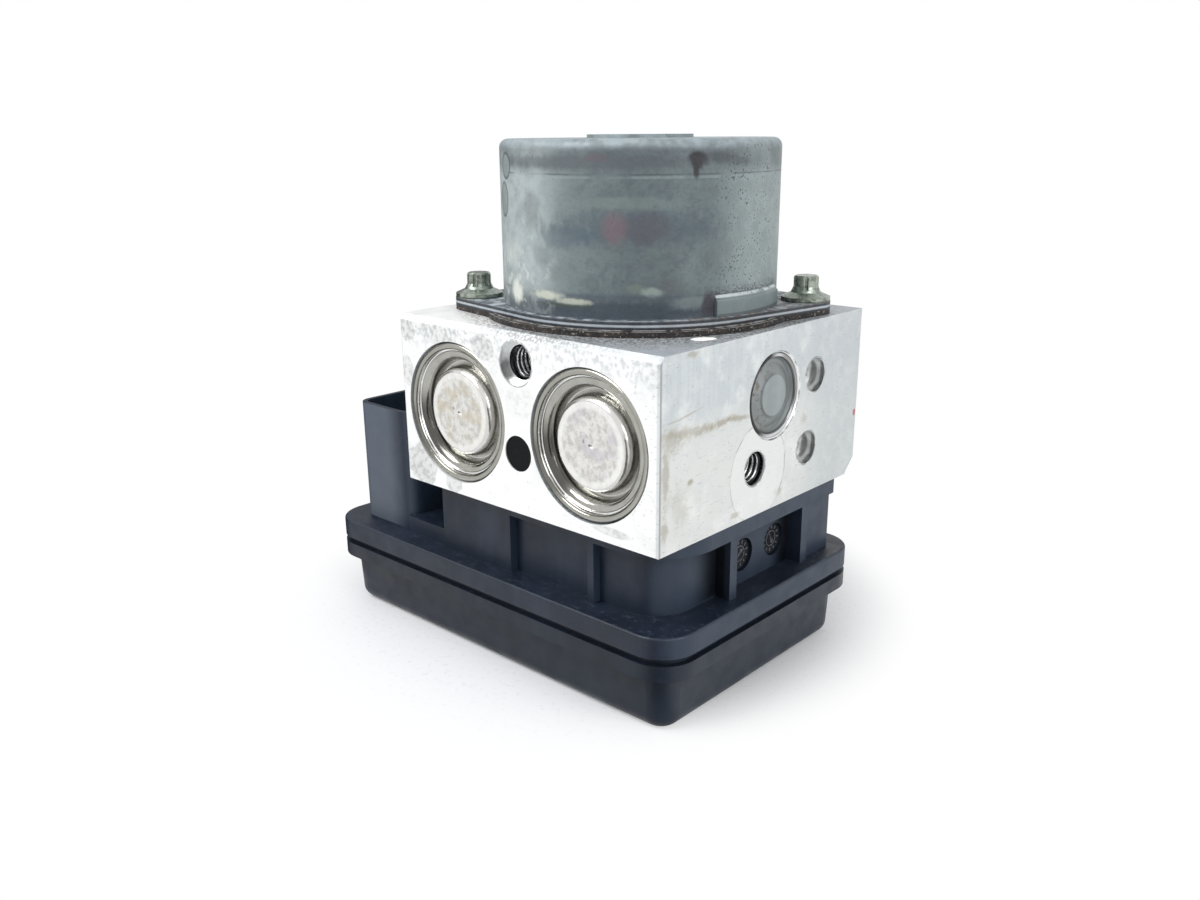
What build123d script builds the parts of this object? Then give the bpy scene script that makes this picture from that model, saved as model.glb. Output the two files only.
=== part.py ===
from build123d import *
from math import cos, pi, radians, sin, sqrt
import os

# Hydraulic brake modulator: a drilled aluminium valve block with its pump motor on top and its
# control unit underneath. Millimetres, +Z up. The origin is on the underside of the control
# unit, straight below the motor axis. -Y is the side of the two accumulator caps.

# ---------------------------------------------------------------- driving dimensions
# Valve block
block_width = 82.2
block_depth = 78.5
block_height = 42.0
front_to_motor_axis = 41.3
motor_off_middle = 0.8
top_front_chamfer = 1.3
rear_bottom_chamfer = 3.9
front_corner_radius = 1.0

# Fits
seat_gap = 0.02
running_gap = 0.04
edge_gap = 0.2

# Accumulators, on the front face
accumulator_spacing = 42.5
accumulator_height = 20.2
cap_radius = 16.9
cap_seat_depth = 3.0
cap_sheet = 1.5
cap_boss_radius = 10.0
cap_boss_draft = 0.8
cap_boss_recess = 1.0
cap_valley_depth = 5.0
cap_valley_radius = 12.2
cap_ring_radius = 14.9
cap_ring_depth = 1.3
accumulator_bore_radius = 14.5
accumulator_bore_depth = 26.0
piston_rest_gap = 0.2
piston_length = 11.0
piston_wall = 3.6
piston_floor = 2.2
seal_section_radius = 0.95
seal_groove_width = 2.0
accumulator_wire = 1.8
accumulator_spring_radius = 7.6
accumulator_turns = 5

# Pump elements, along X through the motor axis
pump_height = 26.8
pump_sleeve_radius = 7.0
pump_piston_radius = 4.0
pump_chamber_gap = 0.6
pump_spring_space = 5.05
pump_spring_wire = 0.7
pump_spring_turns = 4
sleeve_wall_end = 2.0
outlet_hole_radius = 1.0
outlet_ball_radius = 2.0
outlet_chamber_radius = 3.5
outlet_chamber_length = 3.8
plug_radius = 9.8
plug_length = 6.0
plug_boss_radius = 4.7
plug_boss_recess = 0.45
plug_valley_depth = 1.6
plug_valley_width = 0.8
plug_rim_width = 0.9
plug_mouth_chamfer = 0.5

# Eccentric drive
eccentric_offset = 1.0
eccentric_radius = 6.0
eccentric_height = 9.6
roller_radius = 0.9
roller_count = 16
roller_end_gap = 0.4
eccentric_ring_wall = 1.35
chamber_radius = 12.0
chamber_floor_gap = 3.0
cam_clearance = 0.05

# Threaded holes and sealed drillings
mounting_thread_radius = 4.0
front_mount_height = 35.2
front_mount_depth = 14.0
front_counterbore_radius = 5.06
front_counterbore_depth = 2.0
side_mount_y = -7.3
side_mount_height = 11.3
side_mount_depth = 10.0
vent_radius = 4.2
vent_height = 14.4
vent_depth = 4.0
wheel_port_radius = 5.0
wheel_port_height = 27.0
wheel_port_inner = 12.0
wheel_port_outer = 32.0
master_port_radius = 6.0
master_port_height = 13.0
master_port_offset = 20.0
port_depth = 12.0
port_well_radius = 1.6
port_well_depth = 3.0
drilling_radius = 1.6
expander_radius = 4.1
expander_recess = 3.5
expander_length = 4.0
upper_channel_height = 28.8
lower_channel_height = 11.55
channel_wall = 2.7
channel_step = 2.6
channel_to_row = 0.4

# Solenoid valves, pressed in from below, and their coils
valve_radius = 5.4
valve_depth = 13.0
valve_nose_radius = 3.6
valve_nose_length = 4.0
dome_radius = 3.2
dome_length = 13.7
coil_radius = 7.0
coil_gap = 0.6
coil_row_gap = 4.0
coil_wall_gap = 2.3
coil_right_gap = 6.0
coil_height = 12.5
coil_top_gap = 0.9
yoke_sheet = 1.0
coil_lead_radius = 0.4
coil_lead_inset = 2.0

# Motor
can_radius = 33.0
can_sheet = 1.6
can_height = 37.6
can_edge_radius = 2.0
can_boss_radius = 12.5
can_boss_height = 0.8
gasket_proud = 4.3
gasket_thickness = 1.2
motor_flange_proud = 1.5
flange_thickness = 1.8
ear_angle = 35.0
ear_margin = 0.1
ledge_height = 4.7
ledge_proud = 0.9
ledge_start = -20.0
ledge_sweep = 42.0
bolt_radius = 2.5
bolt_length = 11.0
bolt_to_can_gap = 1.2
bolt_hole_spare = 1.0
bolt_flange_radius = 5.8
bolt_flange_thickness = 1.0
bolt_cone_height = 1.0
bolt_head_height = 3.9
bolt_head_radius = 2.95
bolt_foot_radius = 3.55
bolt_foot_height = 1.3
bolt_flute_radius = 0.75
bolt_flute_offset = 0.35
shaft_radius = 4.0
bearing_radius = 9.5
bearing_height = 6.0
retainer_wall = 1.5
lower_bearing_radius = 11.0
hub_wall = 2.9
hub_floor = 1.0
end_shield_thickness = 2.0
magnet_thickness = 6.8
armature_height = 13.0
armature_slots = 12
slot_width = 3.0
slot_length = 9.0
winding_inset = 1.5
winding_height = 3.4
commutator_radius = 8.5
commutator_height = 8.0
commutator_lift = 1.0
winding_lift = 0.8
magnet_gap = 0.6
magnet_height = 17.0
magnet_arc = 74.0
brush_width = 7.0
brush_height = 6.0
brush_length = 10.0
brush_plate_thickness = 2.0
brush_wall = 1.0
lead_y = -19.5
lead_stem_radius = 3.3
terminal_radius = 0.6
terminal_spread = 1.6
terminal_stub = 1.0
lead_stem_reach = 2.0

# Control unit housing
cover_height = 14.3
cover_flange_height = 3.8
cover_inset = 3.3
cover_draft = 3.0
cover_wall = 2.2
cover_edge_radius = 3.5
weld_groove_height = 1.6
weld_groove_inset = 1.4
weld_rib_width = 1.6
flange_height = 5.0
flange_corner_radius = 9.0
flange_over_right = 3.6
flange_over_left = 35.1
flange_over_front = 1.0
flange_short_back = 0.7
deck_thickness = 2.2
flange_rim_width = 3.6
tub_height = 18.3
tub_wall = 2.2
tub_in_front = 6.6
tub_corner_radius = 10.0
rim_height = 3.7
rim_in_front = 4.4
side_rib_spots = (-14.4, 15.3)
side_rib_width = 2.7
rear_wall_proud = 2.8
front_rib_spots = (-10.1, 17.1)
front_rib_width = 1.8
dial_radius = 4.1
dial_depth = 1.0
front_dial_y = -5.3
rear_dial_y = 7.9
dial_height = 31.8

# Plug connector
shroud_in_left = 6.9
shroud_in_front = 6.3
shroud_width = 21.3
shroud_height = 32.7
shroud_wall = 1.4
shroud_corner_radius = 3.9
plinth_height = 4.3
pin_size = 0.64
pin_pitch = 3.4
pin_rows = 3
pins_per_row = 9
pin_reach = 19.0
blade_width = 4.8
blade_thickness = 0.8
blade_pitch = 8.0
first_pin_in = 5.0
pin_to_blade = 4.2
last_blade_in = 5.5

# Circuit board and its parts
board_thickness = 1.6
board_margin = 0.3
board_seat = 1.0
post_radius = 2.5
post_inset = 6.5
board_screw_radius = 1.25
board_screw_head = 2.4
board_screw_length = 5.6
board_screw_spare = 1.0
board_screw_head_height = 1.6
capacitor_radius = 5.0
capacitor_height = 9.5
capacitor_pitch = 13.0
capacitor_count = 3
capacitor_in_left = 20.0
capacitor_in_back = 13.0
chip_plan = [   # place from the board's middle, width, depth and height of each chip
    (15.5, -9.0, 16.0, 16.0, 1.8), (39.5, 9.0, 12.0, 14.0, 2.4), (21.5, 15.0, 10.0, 10.0, 2.0),
    (-8.5, -15.0, 12.0, 10.0, 2.4), (-30.5, -13.0, 14.0, 12.0, 7.0), (39.5, -17.0, 8.0, 10.0, 3.0),
]
carrier_thickness = 2.0
ledge_width = 1.6
ledge_thickness = 1.5
carrier_margin = 0.6
carrier_gap = 0.3
housing_screw_radius = 2.0
housing_screw_head = 3.2
housing_screw_head_height = 2.6
screw_boss_radius = 3.4
screw_boss_height = 12.0
screw_arm_width = 3.0
screw_arm_in_wall = 0.8
screw_bite = 5.4
screw_in_side = 3.4
screw_in_front = 4.1
screw_in_corner = 5.3

# ---------------------------------------------------------------- places worked out from them
base_z = cover_height + cover_flange_height + weld_groove_height + flange_height + tub_height
top_z = base_z + block_height
middle_x = -motor_off_middle
right_x = middle_x + block_width / 2
left_x = middle_x - block_width / 2
front_y = -front_to_motor_axis
back_y = front_y + block_depth
pump_z = base_z + pump_height
accumulator_z = base_z + accumulator_height
cover_flange_z = cover_height
groove_z = cover_flange_z + cover_flange_height
flange_z = groove_z + weld_groove_height
deck_top_z = flange_z + flange_height
deck_z = deck_top_z - deck_thickness
board_z = cover_flange_z + board_seat
board_top_z = board_z + board_thickness
gasket_top_z = top_z + gasket_thickness
can_base_z = gasket_top_z + flange_thickness
can_top_z = can_base_z + can_height
can_inner_radius = can_radius - can_sheet
flange_left = left_x - flange_over_left
flange_right = right_x + flange_over_right
flange_front = front_y - flange_over_front
flange_back = back_y - flange_short_back
coil_pitch = 2 * coil_radius + coil_gap
valve_columns = [middle_x + coil_pitch * (n - 1.5) for n in range(4)]
tub_left = valve_columns[0] - coil_radius - coil_wall_gap - tub_wall
tub_right = valve_columns[-1] + coil_radius + coil_right_gap + tub_wall
tub_front = front_y + tub_in_front
upper_channel_y = plug_radius + channel_wall + expander_radius
outlet_row_y = upper_channel_y + channel_to_row
tub_back = outlet_row_y + coil_radius + coil_wall_gap + tub_wall
inlet_row_y = outlet_row_y - 2 * coil_radius - coil_row_gap
rim_front = front_y + rim_in_front
shroud_left = flange_left + shroud_in_left
shroud_front = flange_front + shroud_in_front
shroud_middle_x = shroud_left + shroud_width / 2
first_pin_y = shroud_front + shroud_wall + first_pin_in
first_blade_y = first_pin_y + pin_pitch * (pins_per_row - 1) + pin_to_blade
shroud_back = first_blade_y + blade_pitch + last_blade_in + shroud_wall
ring_outer_radius = eccentric_radius + 2 * roller_radius + 2 * seat_gap + eccentric_ring_wall
cam_sweep = ring_outer_radius + eccentric_offset
piston_start = cam_sweep + cam_clearance
sleeve_start = chamber_radius + pump_chamber_gap
sleeve_wall_start = right_x - plug_length - outlet_chamber_length - sleeve_wall_end
pump_piston_length = sleeve_wall_start - pump_spring_space - piston_start
coil_top_z = base_z - coil_top_gap
coil_base_z = coil_top_z - coil_height
carrier_top_z = coil_base_z
hub_base_z = top_z - bearing_height - hub_floor
brush_plate_top_z = gasket_top_z + end_shield_thickness + brush_plate_thickness
commutator_z = brush_plate_top_z + commutator_lift
armature_z = commutator_z + commutator_height + winding_height + winding_lift
armature_radius = can_inner_radius - magnet_thickness - magnet_gap
winding_radius = armature_radius - winding_inset
flange_plate_radius = can_radius + motor_flange_proud
gasket_radius = can_radius + gasket_proud
bolt_circle_radius = can_radius + bolt_to_can_gap + bolt_flange_radius
ear_radius = bolt_flange_radius + ear_margin
ear_x = bolt_circle_radius * cos(radians(ear_angle))
ear_y = bolt_circle_radius * sin(radians(ear_angle))
bolt_spots = [(-ear_x, -ear_y), (ear_x, ear_y)]
lead_spots = [(-terminal_spread, lead_y), (terminal_spread, lead_y)]
valve_spots = [(x, y) for y in (inlet_row_y, outlet_row_y) for x in valve_columns]
channels = [(upper_channel_y, upper_channel_height), (upper_channel_y - channel_step, lower_channel_height)]
screw_left = tub_left + tub_wall + screw_in_side
screw_right = tub_right - tub_wall - screw_in_side
between_rows_y = (inlet_row_y + outlet_row_y) / 2
housing_screw_spots = [
    (screw_left, tub_front + tub_wall + screw_in_front),
    (tub_right - tub_wall - screw_in_corner, tub_front + tub_wall + screw_in_corner),
    (screw_left, between_rows_y),
    (screw_right, between_rows_y),
]
board_edge = weld_groove_inset + weld_rib_width + board_margin
board_middle = ((flange_left + flange_right) / 2, (flange_front + flange_back) / 2)
post_spots = [(x, y) for x in (flange_left + board_edge + post_inset, flange_right - board_edge - post_inset)
              for y in (flange_front + board_edge + post_inset, flange_back - board_edge - post_inset)]

up, down = (0, 0, 1), (0, 0, -1)
forward, backward = (0, -1, 0), (0, 1, 0)
LOW = (Align.CENTER, Align.CENTER, Align.MIN)


# ---------------------------------------------------------------- shared shapes
def rod(radius, length, origin, direction=up):
    """A cylinder that starts at origin and runs along direction."""
    return Plane(origin=origin, z_dir=direction) * Cylinder(radius, length, align=LOW)


def tube(outer, inner, length, origin, direction=up):
    return rod(outer, length, origin, direction) - rod(inner, length, origin, direction)


def turned(profile, origin=(0, 0, 0), direction=up):
    """A lathe part: profile points are (radius, height along direction from origin)."""
    face = make_face(Plane.XZ * Polyline(*profile, close=True))
    return Plane(origin=origin, z_dir=direction) * revolve(face, axis=Axis.Z)


def plate(x0, x1, y0, y1, z0, z1, corner=0.0, taper=0.0):
    """An upright prism over a rectangle with rounded corners, which may narrow upwards."""
    outline = RectangleRounded(x1 - x0, y1 - y0, corner) if corner else Rectangle(x1 - x0, y1 - y0)
    placed = Plane(origin=((x0 + x1) / 2, (y0 + y1) / 2, z0)) * outline
    return extrude(placed, amount=z1 - z0, taper=taper)


def spring(radius, wire, turns, length, origin, direction):
    """A coil spring between two flat seats that are length apart."""
    path = Helix((length - wire) / turns, length - wire, radius)
    coil = sweep(Plane(origin=path @ 0, z_dir=path % 0) * Circle(wire / 2), path=path, is_frenet=True)
    return Plane(origin=origin, z_dir=direction) * Pos(0, 0, wire / 2) * coil


def both_sides(make):
    """One piece for the left pump (-1) and one for the right pump (1)."""
    return {"left": make(-1), "right": make(1)}


def group(shapes):
    return Compound([solid for shape in shapes for solid in shape.solids()])


def side_point(side, distance, y=0.0, z=pump_z):
    return (side * distance, y, z)


def reach(side):
    """How far one side face of the block stands from the motor axis."""
    return right_x if side > 0 else -left_x


def accumulator_point(side, depth):
    """A point on an accumulator's axis, depth behind the front face."""
    return (middle_x + side * accumulator_spacing / 2, front_y + depth, accumulator_z)


# ---------------------------------------------------------------- valve block
def block_body():
    """The block, drawn as its side view and extruded across."""
    side_view = Polyline(
        (front_y, base_z), (back_y - rear_bottom_chamfer, base_z), (back_y, base_z + rear_bottom_chamfer),
        (back_y, top_z), (front_y + top_front_chamfer, top_z), (front_y, top_z - top_front_chamfer),
        close=True)
    body = extrude(Plane.YZ.offset(left_x) * make_face(side_view), amount=block_width)
    upright = body.edges().filter_by(Axis.Z).group_by(Axis.Y)[0]
    return fillet(upright.sort_by(Axis.X)[0], front_corner_radius)


def accumulator_cavity(side):
    mouth = accumulator_point(side, 0)
    seat = rod(cap_radius + edge_gap, cap_seat_depth, mouth, backward)
    bore = rod(accumulator_bore_radius, accumulator_bore_depth, mouth, backward)
    x, bore_end, z = accumulator_point(side, accumulator_bore_depth)
    to_pump = rod(drilling_radius, -bore_end, (x, bore_end, pump_z), backward)
    return seat + bore + to_pump


def pump_cavity(side):
    outward = (side, 0, 0)
    face = side_point(side, reach(side))
    bore = rod(pump_sleeve_radius + seat_gap, reach(side), side_point(side, 0), outward)
    plug_seat = side_point(side, reach(side) - plug_length)
    plug_bore = rod(plug_radius + seat_gap, plug_length, plug_seat, outward)
    wide = plug_radius + seat_gap + plug_mouth_chamfer
    mouth = turned([(0, 0), (wide, 0), (wide - plug_mouth_chamfer, -plug_mouth_chamfer),
                    (0, -plug_mouth_chamfer)], face, outward)
    return bore + plug_bore + mouth


def motor_cavity():
    hub = rod(lower_bearing_radius + hub_wall + seat_gap, top_z - hub_base_z, (0, 0, hub_base_z))
    floor_z = pump_z - eccentric_height / 2 - chamber_floor_gap
    chamber = rod(chamber_radius, hub_base_z - floor_z, (0, 0, floor_z))
    leads = rod(lead_stem_radius + edge_gap, block_height, (0, lead_y, base_z))
    return hub + chamber + leads


def drillings(side):
    """Oil ways of one brake circuit, closed at the side face by expander plugs."""
    columns = [x for x in valve_columns if x * side > 0]
    length = reach(side) - min(abs(x) for x in columns)
    inward = (-side, 0, 0)
    rise = upper_channel_height - valve_depth
    cuts = [rod(drilling_radius, rise, (x, outlet_row_y, base_z + valve_depth)) for x in columns]
    for y, height in channels:
        mouth = side_point(side, reach(side), y, base_z + height)
        cuts.append(rod(drilling_radius, length, mouth, inward))
        cuts.append(rod(expander_radius, expander_recess + expander_length, mouth, inward))
    return cuts


def threaded_holes():
    """Every hole that takes a screw or a pipe fitting, at the major radius of its thread."""
    front = (middle_x, front_y, base_z + front_mount_height)
    side = (right_x, side_mount_y, base_z + side_mount_height)
    cuts = [
        rod(mounting_thread_radius, front_mount_depth, front, backward),
        rod(front_counterbore_radius, front_counterbore_depth, front, backward),
        rod(mounting_thread_radius, side_mount_depth, side, (-1, 0, 0)),
    ]
    for offset, radius, height in (
        (wheel_port_inner, wheel_port_radius, wheel_port_height),
        (wheel_port_outer, wheel_port_radius, wheel_port_height),
        (master_port_offset, master_port_radius, master_port_height),
    ):
        for x in (middle_x - offset, middle_x + offset):
            mouth = (x, back_y, base_z + height)
            cuts.append(rod(radius, port_depth, mouth, forward))
            cuts.append(rod(port_well_radius, port_depth + port_well_depth, mouth, forward))
    for x, y in bolt_spots:
        depth = bolt_length - flange_thickness - gasket_thickness + bolt_hole_spare
        cuts.append(rod(bolt_radius, depth, (x, y, top_z), down))
    for x, y in housing_screw_spots:
        cuts.append(rod(housing_screw_radius, screw_bite + 0.6, (x, y, base_z)))
    return cuts


def valve_pockets():
    cuts = []
    for x, y in valve_spots:
        body_depth = valve_depth - valve_nose_length
        cuts.append(rod(valve_radius + seat_gap, body_depth, (x, y, base_z)))
        cuts.append(rod(valve_nose_radius + edge_gap, valve_depth, (x, y, base_z)))
    return cuts


def valve_block():
    cuts = [accumulator_cavity(side) for side in (-1, 1)]
    cuts += [pump_cavity(side) for side in (-1, 1)]
    cuts += [motor_cavity()]
    cuts += drillings(-1) + drillings(1) + threaded_holes() + valve_pockets()
    cuts += [rod(vent_radius, vent_depth, (middle_x, front_y, base_z + vent_height), backward)]
    return block_body() - cuts


def vent_plug():
    recess = 0.3
    start = (middle_x, front_y + recess, base_z + vent_height)
    return rod(vent_radius - seat_gap, vent_depth - recess, start, backward)


def channel_plug(side, y, height):
    """A dished expander plug, with the dimple left by the tool that spreads it."""
    outer = expander_radius - seat_gap
    profile = [(0, -1.0), (1.1, 0), (2.0, 0), (2.8, -0.7), (outer, -0.7),
               (outer, -expander_length), (0, -expander_length)]
    face = side_point(side, reach(side) - expander_recess, y, base_z + height)
    return turned(profile, face, (side, 0, 0))


# ---------------------------------------------------------------- accumulators
def accumulator_cap(side):
    """A pressed cap: outer ring, deep annular valley and a centre boss just below the block's face."""
    foot = cap_boss_radius + cap_boss_draft
    under = -cap_valley_depth - cap_sheet
    face = -cap_boss_recess
    front = [
        (0, face), (cap_boss_radius - 0.7, face), (cap_boss_radius, face - 0.6),
        (foot, -cap_valley_depth + 0.5), (foot + 0.5, -cap_valley_depth),
        (cap_valley_radius - 0.4, -cap_valley_depth),
        (cap_valley_radius + 0.2, -cap_valley_depth + 0.6), (cap_ring_radius - 1.6, -cap_ring_depth - 0.7),
        (cap_ring_radius - 1.2, -cap_ring_depth - 0.4), (cap_ring_radius, -cap_ring_depth),
        (cap_ring_radius + 0.3, -0.5), (cap_ring_radius + 0.8, -0.2), (cap_radius - 0.5, -0.2),
        (cap_radius, -0.7),
    ]
    back = [
        (cap_radius, -cap_seat_depth), (accumulator_bore_radius - 0.6, -cap_seat_depth),
        (cap_valley_radius + 0.7, under), (foot - cap_sheet + 0.2, under),
        (cap_boss_radius - cap_sheet, face - cap_sheet), (0, face - cap_sheet),
    ]
    return turned(front + back, accumulator_point(side, 0), forward)


def accumulator_piston(side):
    """A cup that slides in the accumulator bore, at the bottom of the bore when it is empty."""
    radius = accumulator_bore_radius - running_gap
    groove = radius - 2 * seal_section_radius
    middle = piston_length / 2
    inner = radius - piston_wall
    profile = [
        (0, 0), (radius - 0.8, 0), (radius, 0.8), (radius, middle - seal_groove_width / 2),
        (groove, middle - seal_groove_width / 2), (groove, middle + seal_groove_width / 2),
        (radius, middle + seal_groove_width / 2), (radius, piston_length), (inner, piston_length),
        (inner, piston_floor), (0, piston_floor),
    ]
    return turned(profile, accumulator_point(side, accumulator_bore_depth - piston_rest_gap), forward)


def accumulator_seal(side):
    radius = accumulator_bore_radius - running_gap - seal_section_radius
    depth = accumulator_bore_depth - piston_rest_gap - piston_length / 2
    return Plane(origin=accumulator_point(side, depth), z_dir=forward) * Torus(radius, seal_section_radius)


def accumulator_spring(side):
    cap_inside = cap_boss_recess + cap_sheet
    cup_floor = accumulator_bore_depth - piston_rest_gap - piston_floor
    return spring(accumulator_spring_radius, accumulator_wire, accumulator_turns,
                  cup_floor - cap_inside, accumulator_point(side, cap_inside), backward)


# ---------------------------------------------------------------- pump elements
def pump_sleeve(side):
    bore = pump_piston_radius + running_gap
    near = sleeve_wall_start - sleeve_start
    far = near + sleeve_wall_end
    end = reach(side) - plug_length - sleeve_start
    profile = [
        (bore, 0), (pump_sleeve_radius - 0.6, 0), (pump_sleeve_radius, 0.6), (pump_sleeve_radius, end),
        (outlet_chamber_radius, end), (outlet_chamber_radius, far), (outlet_hole_radius, far),
        (outlet_hole_radius, near), (bore, near),
    ]
    return turned(profile, side_point(side, sleeve_start), (side, 0, 0))


def pump_piston(side):
    profile = [(0, 0), (pump_piston_radius - 0.5, 0), (pump_piston_radius, 0.5),
               (pump_piston_radius, pump_piston_length), (0, pump_piston_length)]
    return turned(profile, side_point(side, piston_start), (side, 0, 0))


def pump_spring(side):
    start = side_point(side, piston_start + pump_piston_length)
    coil = pump_piston_radius - 0.6 - pump_spring_wire / 2
    return spring(coil, pump_spring_wire, pump_spring_turns, pump_spring_space, start, (side, 0, 0))


def outlet_ball(side):
    seat = sqrt(outlet_ball_radius**2 - outlet_hole_radius**2)
    middle = sleeve_wall_start + sleeve_wall_end + seat + seat_gap
    return Pos(*side_point(side, middle)) * Sphere(outlet_ball_radius)


def pump_plug(side):
    """A turned plug staked into the side of the block: raised rim, valley and a cone up to its boss."""
    rim_inside = plug_radius - plug_rim_width
    valley_outside = rim_inside - 0.7
    profile = [
        (0, -plug_boss_recess), (plug_boss_radius, -plug_boss_recess),
        (valley_outside - plug_valley_width, -plug_valley_depth), (valley_outside, -plug_valley_depth),
        (rim_inside - 0.2, -0.7), (rim_inside, -0.45), (rim_inside + 0.3, -0.35), (plug_radius - 0.3, -0.35),
        (plug_radius, -0.6), (plug_radius, -plug_length), (0, -plug_length),
    ]
    return turned(profile, side_point(side, reach(side)), (side, 0, 0))


# ---------------------------------------------------------------- solenoid valves
def valve_cartridge(x, y):
    body = valve_depth - valve_nose_length
    profile = [
        (0, -dome_length), (dome_radius - 1.2, -dome_length), (dome_radius, -dome_length + 1.2),
        (dome_radius, 0), (valve_radius, 0), (valve_radius, body),
        (valve_nose_radius, body), (valve_nose_radius, valve_depth), (0, valve_depth),
    ]
    return turned(profile, (x, y, base_z))


def coil_yoke(x, y):
    bore = dome_radius + edge_gap
    inner = coil_radius - yoke_sheet
    profile = [(bore, 0), (coil_radius, 0), (coil_radius, coil_height), (bore, coil_height),
               (bore, coil_height - yoke_sheet), (inner, coil_height - yoke_sheet), (inner, yoke_sheet),
               (bore, yoke_sheet)]
    return turned(profile, (x, y, coil_base_z))


def coil_winding(x, y):
    start = (x, y, coil_base_z + yoke_sheet)
    outer = coil_radius - yoke_sheet - seat_gap
    return tube(outer, dome_radius + edge_gap, coil_height - 2 * yoke_sheet, start)


def coil_leads(x, y):
    """Two stiff wires from the foot of a coil, through the carrier, down to the board."""
    length = coil_base_z - board_top_z
    return [rod(coil_lead_radius, length, (lead_x, y, board_top_z)) for lead_x in coil_lead_columns(x)]


def coil_lead_columns(x):
    offset = coil_radius - coil_lead_inset
    return (x - offset, x + offset)


# ---------------------------------------------------------------- motor
def ear_outline(radius):
    """The round flange with its two ears on one diagonal."""
    circles = [Circle(radius)] + [Pos(x, y) * Circle(ear_radius) for x, y in bolt_spots]
    return make_hull([edge for circle in circles for edge in circle.edges()])


def bolt_clearance_holes():
    return [Pos(x, y) * Circle(bolt_radius + edge_gap) for x, y in bolt_spots]


def motor_can():
    """A drawn steel can with its mounting flange, a raised centre and one pressed ledge."""
    boss_top_z = can_top_z + can_boss_height
    boss_inner_radius = can_boss_radius - can_sheet
    outer = [
        (can_inner_radius, gasket_top_z), (can_radius, gasket_top_z), (can_radius, can_top_z),
        (can_boss_radius, can_top_z), (can_boss_radius, boss_top_z), (0, boss_top_z),
        (0, boss_top_z - can_sheet), (boss_inner_radius, boss_top_z - can_sheet),
        (boss_inner_radius, can_top_z - can_sheet), (can_inner_radius, can_top_z - can_sheet),
    ]
    can = turned(outer)
    rim = can.edges().filter_by(GeomType.CIRCLE).filter_by(
        lambda e: abs(e.radius - can_radius) < 0.01 and abs(e.center().Z - can_top_z) < 0.01)
    can = fillet(rim, can_edge_radius)
    flat = ear_outline(flange_plate_radius) - Circle(can_radius - 0.4) - bolt_clearance_holes()
    can += Pos(0, 0, gasket_top_z) * extrude(flat, amount=flange_thickness)
    ledge = make_face(Plane.XZ * Polyline(
        (can_radius - 0.4, can_base_z - 0.4), (can_radius + ledge_proud, can_base_z - 0.4),
        (can_radius + ledge_proud, can_base_z + ledge_height - 1.2), (can_radius, can_base_z + ledge_height),
        (can_radius - 0.4, can_base_z + ledge_height), close=True))
    return can + Rot(0, 0, ledge_start) * revolve(ledge, axis=Axis.Z, revolution_arc=ledge_sweep)


def motor_gasket():
    """The round ring under the motor's flange, with a pad under each ear."""
    flat = (Circle(gasket_radius) + ear_outline(flange_plate_radius)) - Circle(can_inner_radius)
    return Pos(0, 0, top_z) * extrude(flat - bolt_clearance_holes(), amount=gasket_thickness)


def end_shield():
    """The motor's lower plate. Its hub holds the lower bearing and pilots the motor in the block."""
    hub = lower_bearing_radius + hub_wall
    bottom, plate_z, plate_top = hub_base_z + seat_gap, gasket_top_z, gasket_top_z + end_shield_thickness
    profile = [
        (shaft_radius + 0.8, bottom), (hub, bottom), (hub, plate_z), (can_inner_radius - seat_gap, plate_z),
        (can_inner_radius - seat_gap, plate_top), (lower_bearing_radius - 2.0, plate_top),
        (lower_bearing_radius - 2.0, bottom + hub_floor + bearing_height),
        (lower_bearing_radius + seat_gap, bottom + hub_floor + bearing_height),
        (lower_bearing_radius + seat_gap, bottom + hub_floor), (shaft_radius + 0.8, bottom + hub_floor),
    ]
    return turned(profile) - rod(lead_stem_radius + edge_gap, end_shield_thickness, (0, lead_y, plate_z))


def bearing(radius, z):
    """A sealed ball bearing, taken as one ring with a shallow recess on each face."""
    bore = shaft_radius + running_gap
    profile = [(bore, 0), (bore + 1.4, 0), (bore + 1.4, 0.5), (radius - 1.4, 0.5), (radius - 1.4, 0),
               (radius, 0), (radius, bearing_height), (radius - 1.4, bearing_height),
               (radius - 1.4, bearing_height - 0.5), (bore + 1.4, bearing_height - 0.5),
               (bore + 1.4, bearing_height), (bore, bearing_height)]
    return turned(profile, (0, 0, z))


def bearing_retainer():
    """The collar under the can's roof that holds the upper bearing."""
    start = (0, 0, can_top_z - can_sheet - bearing_height)
    return tube(bearing_radius + retainer_wall, bearing_radius + seat_gap, bearing_height, start)


def magnets():
    outer, inner = can_inner_radius - seat_gap, armature_radius + magnet_gap
    z = armature_z - (magnet_height - armature_height) / 2
    arc = make_face(Plane.XZ * Polyline((inner, z), (outer, z), (outer, z + magnet_height),
                                        (inner, z + magnet_height), close=True))
    piece = revolve(arc, axis=Axis.Z, revolution_arc=magnet_arc)
    return group(Rot(0, 0, 90 * n + 45 - magnet_arc / 2) * piece for n in range(4))


def brush_box(side, wall, z0, z1):
    """A block round one brush's path, from just off the commutator outwards."""
    start, end = commutator_radius + 2.0, commutator_radius + brush_length + 2.0
    return plate(min(side * start, side * end), max(side * start, side * end),
                 -brush_width / 2 - wall, brush_width / 2 + wall, z0, z1)


def brush(side):
    start, end = commutator_radius + seat_gap, commutator_radius + brush_length
    z = commutator_z + (commutator_height - brush_height) / 2
    return plate(min(side * start, side * end), max(side * start, side * end),
                 -brush_width / 2, brush_width / 2, z, z + brush_height)


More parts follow.
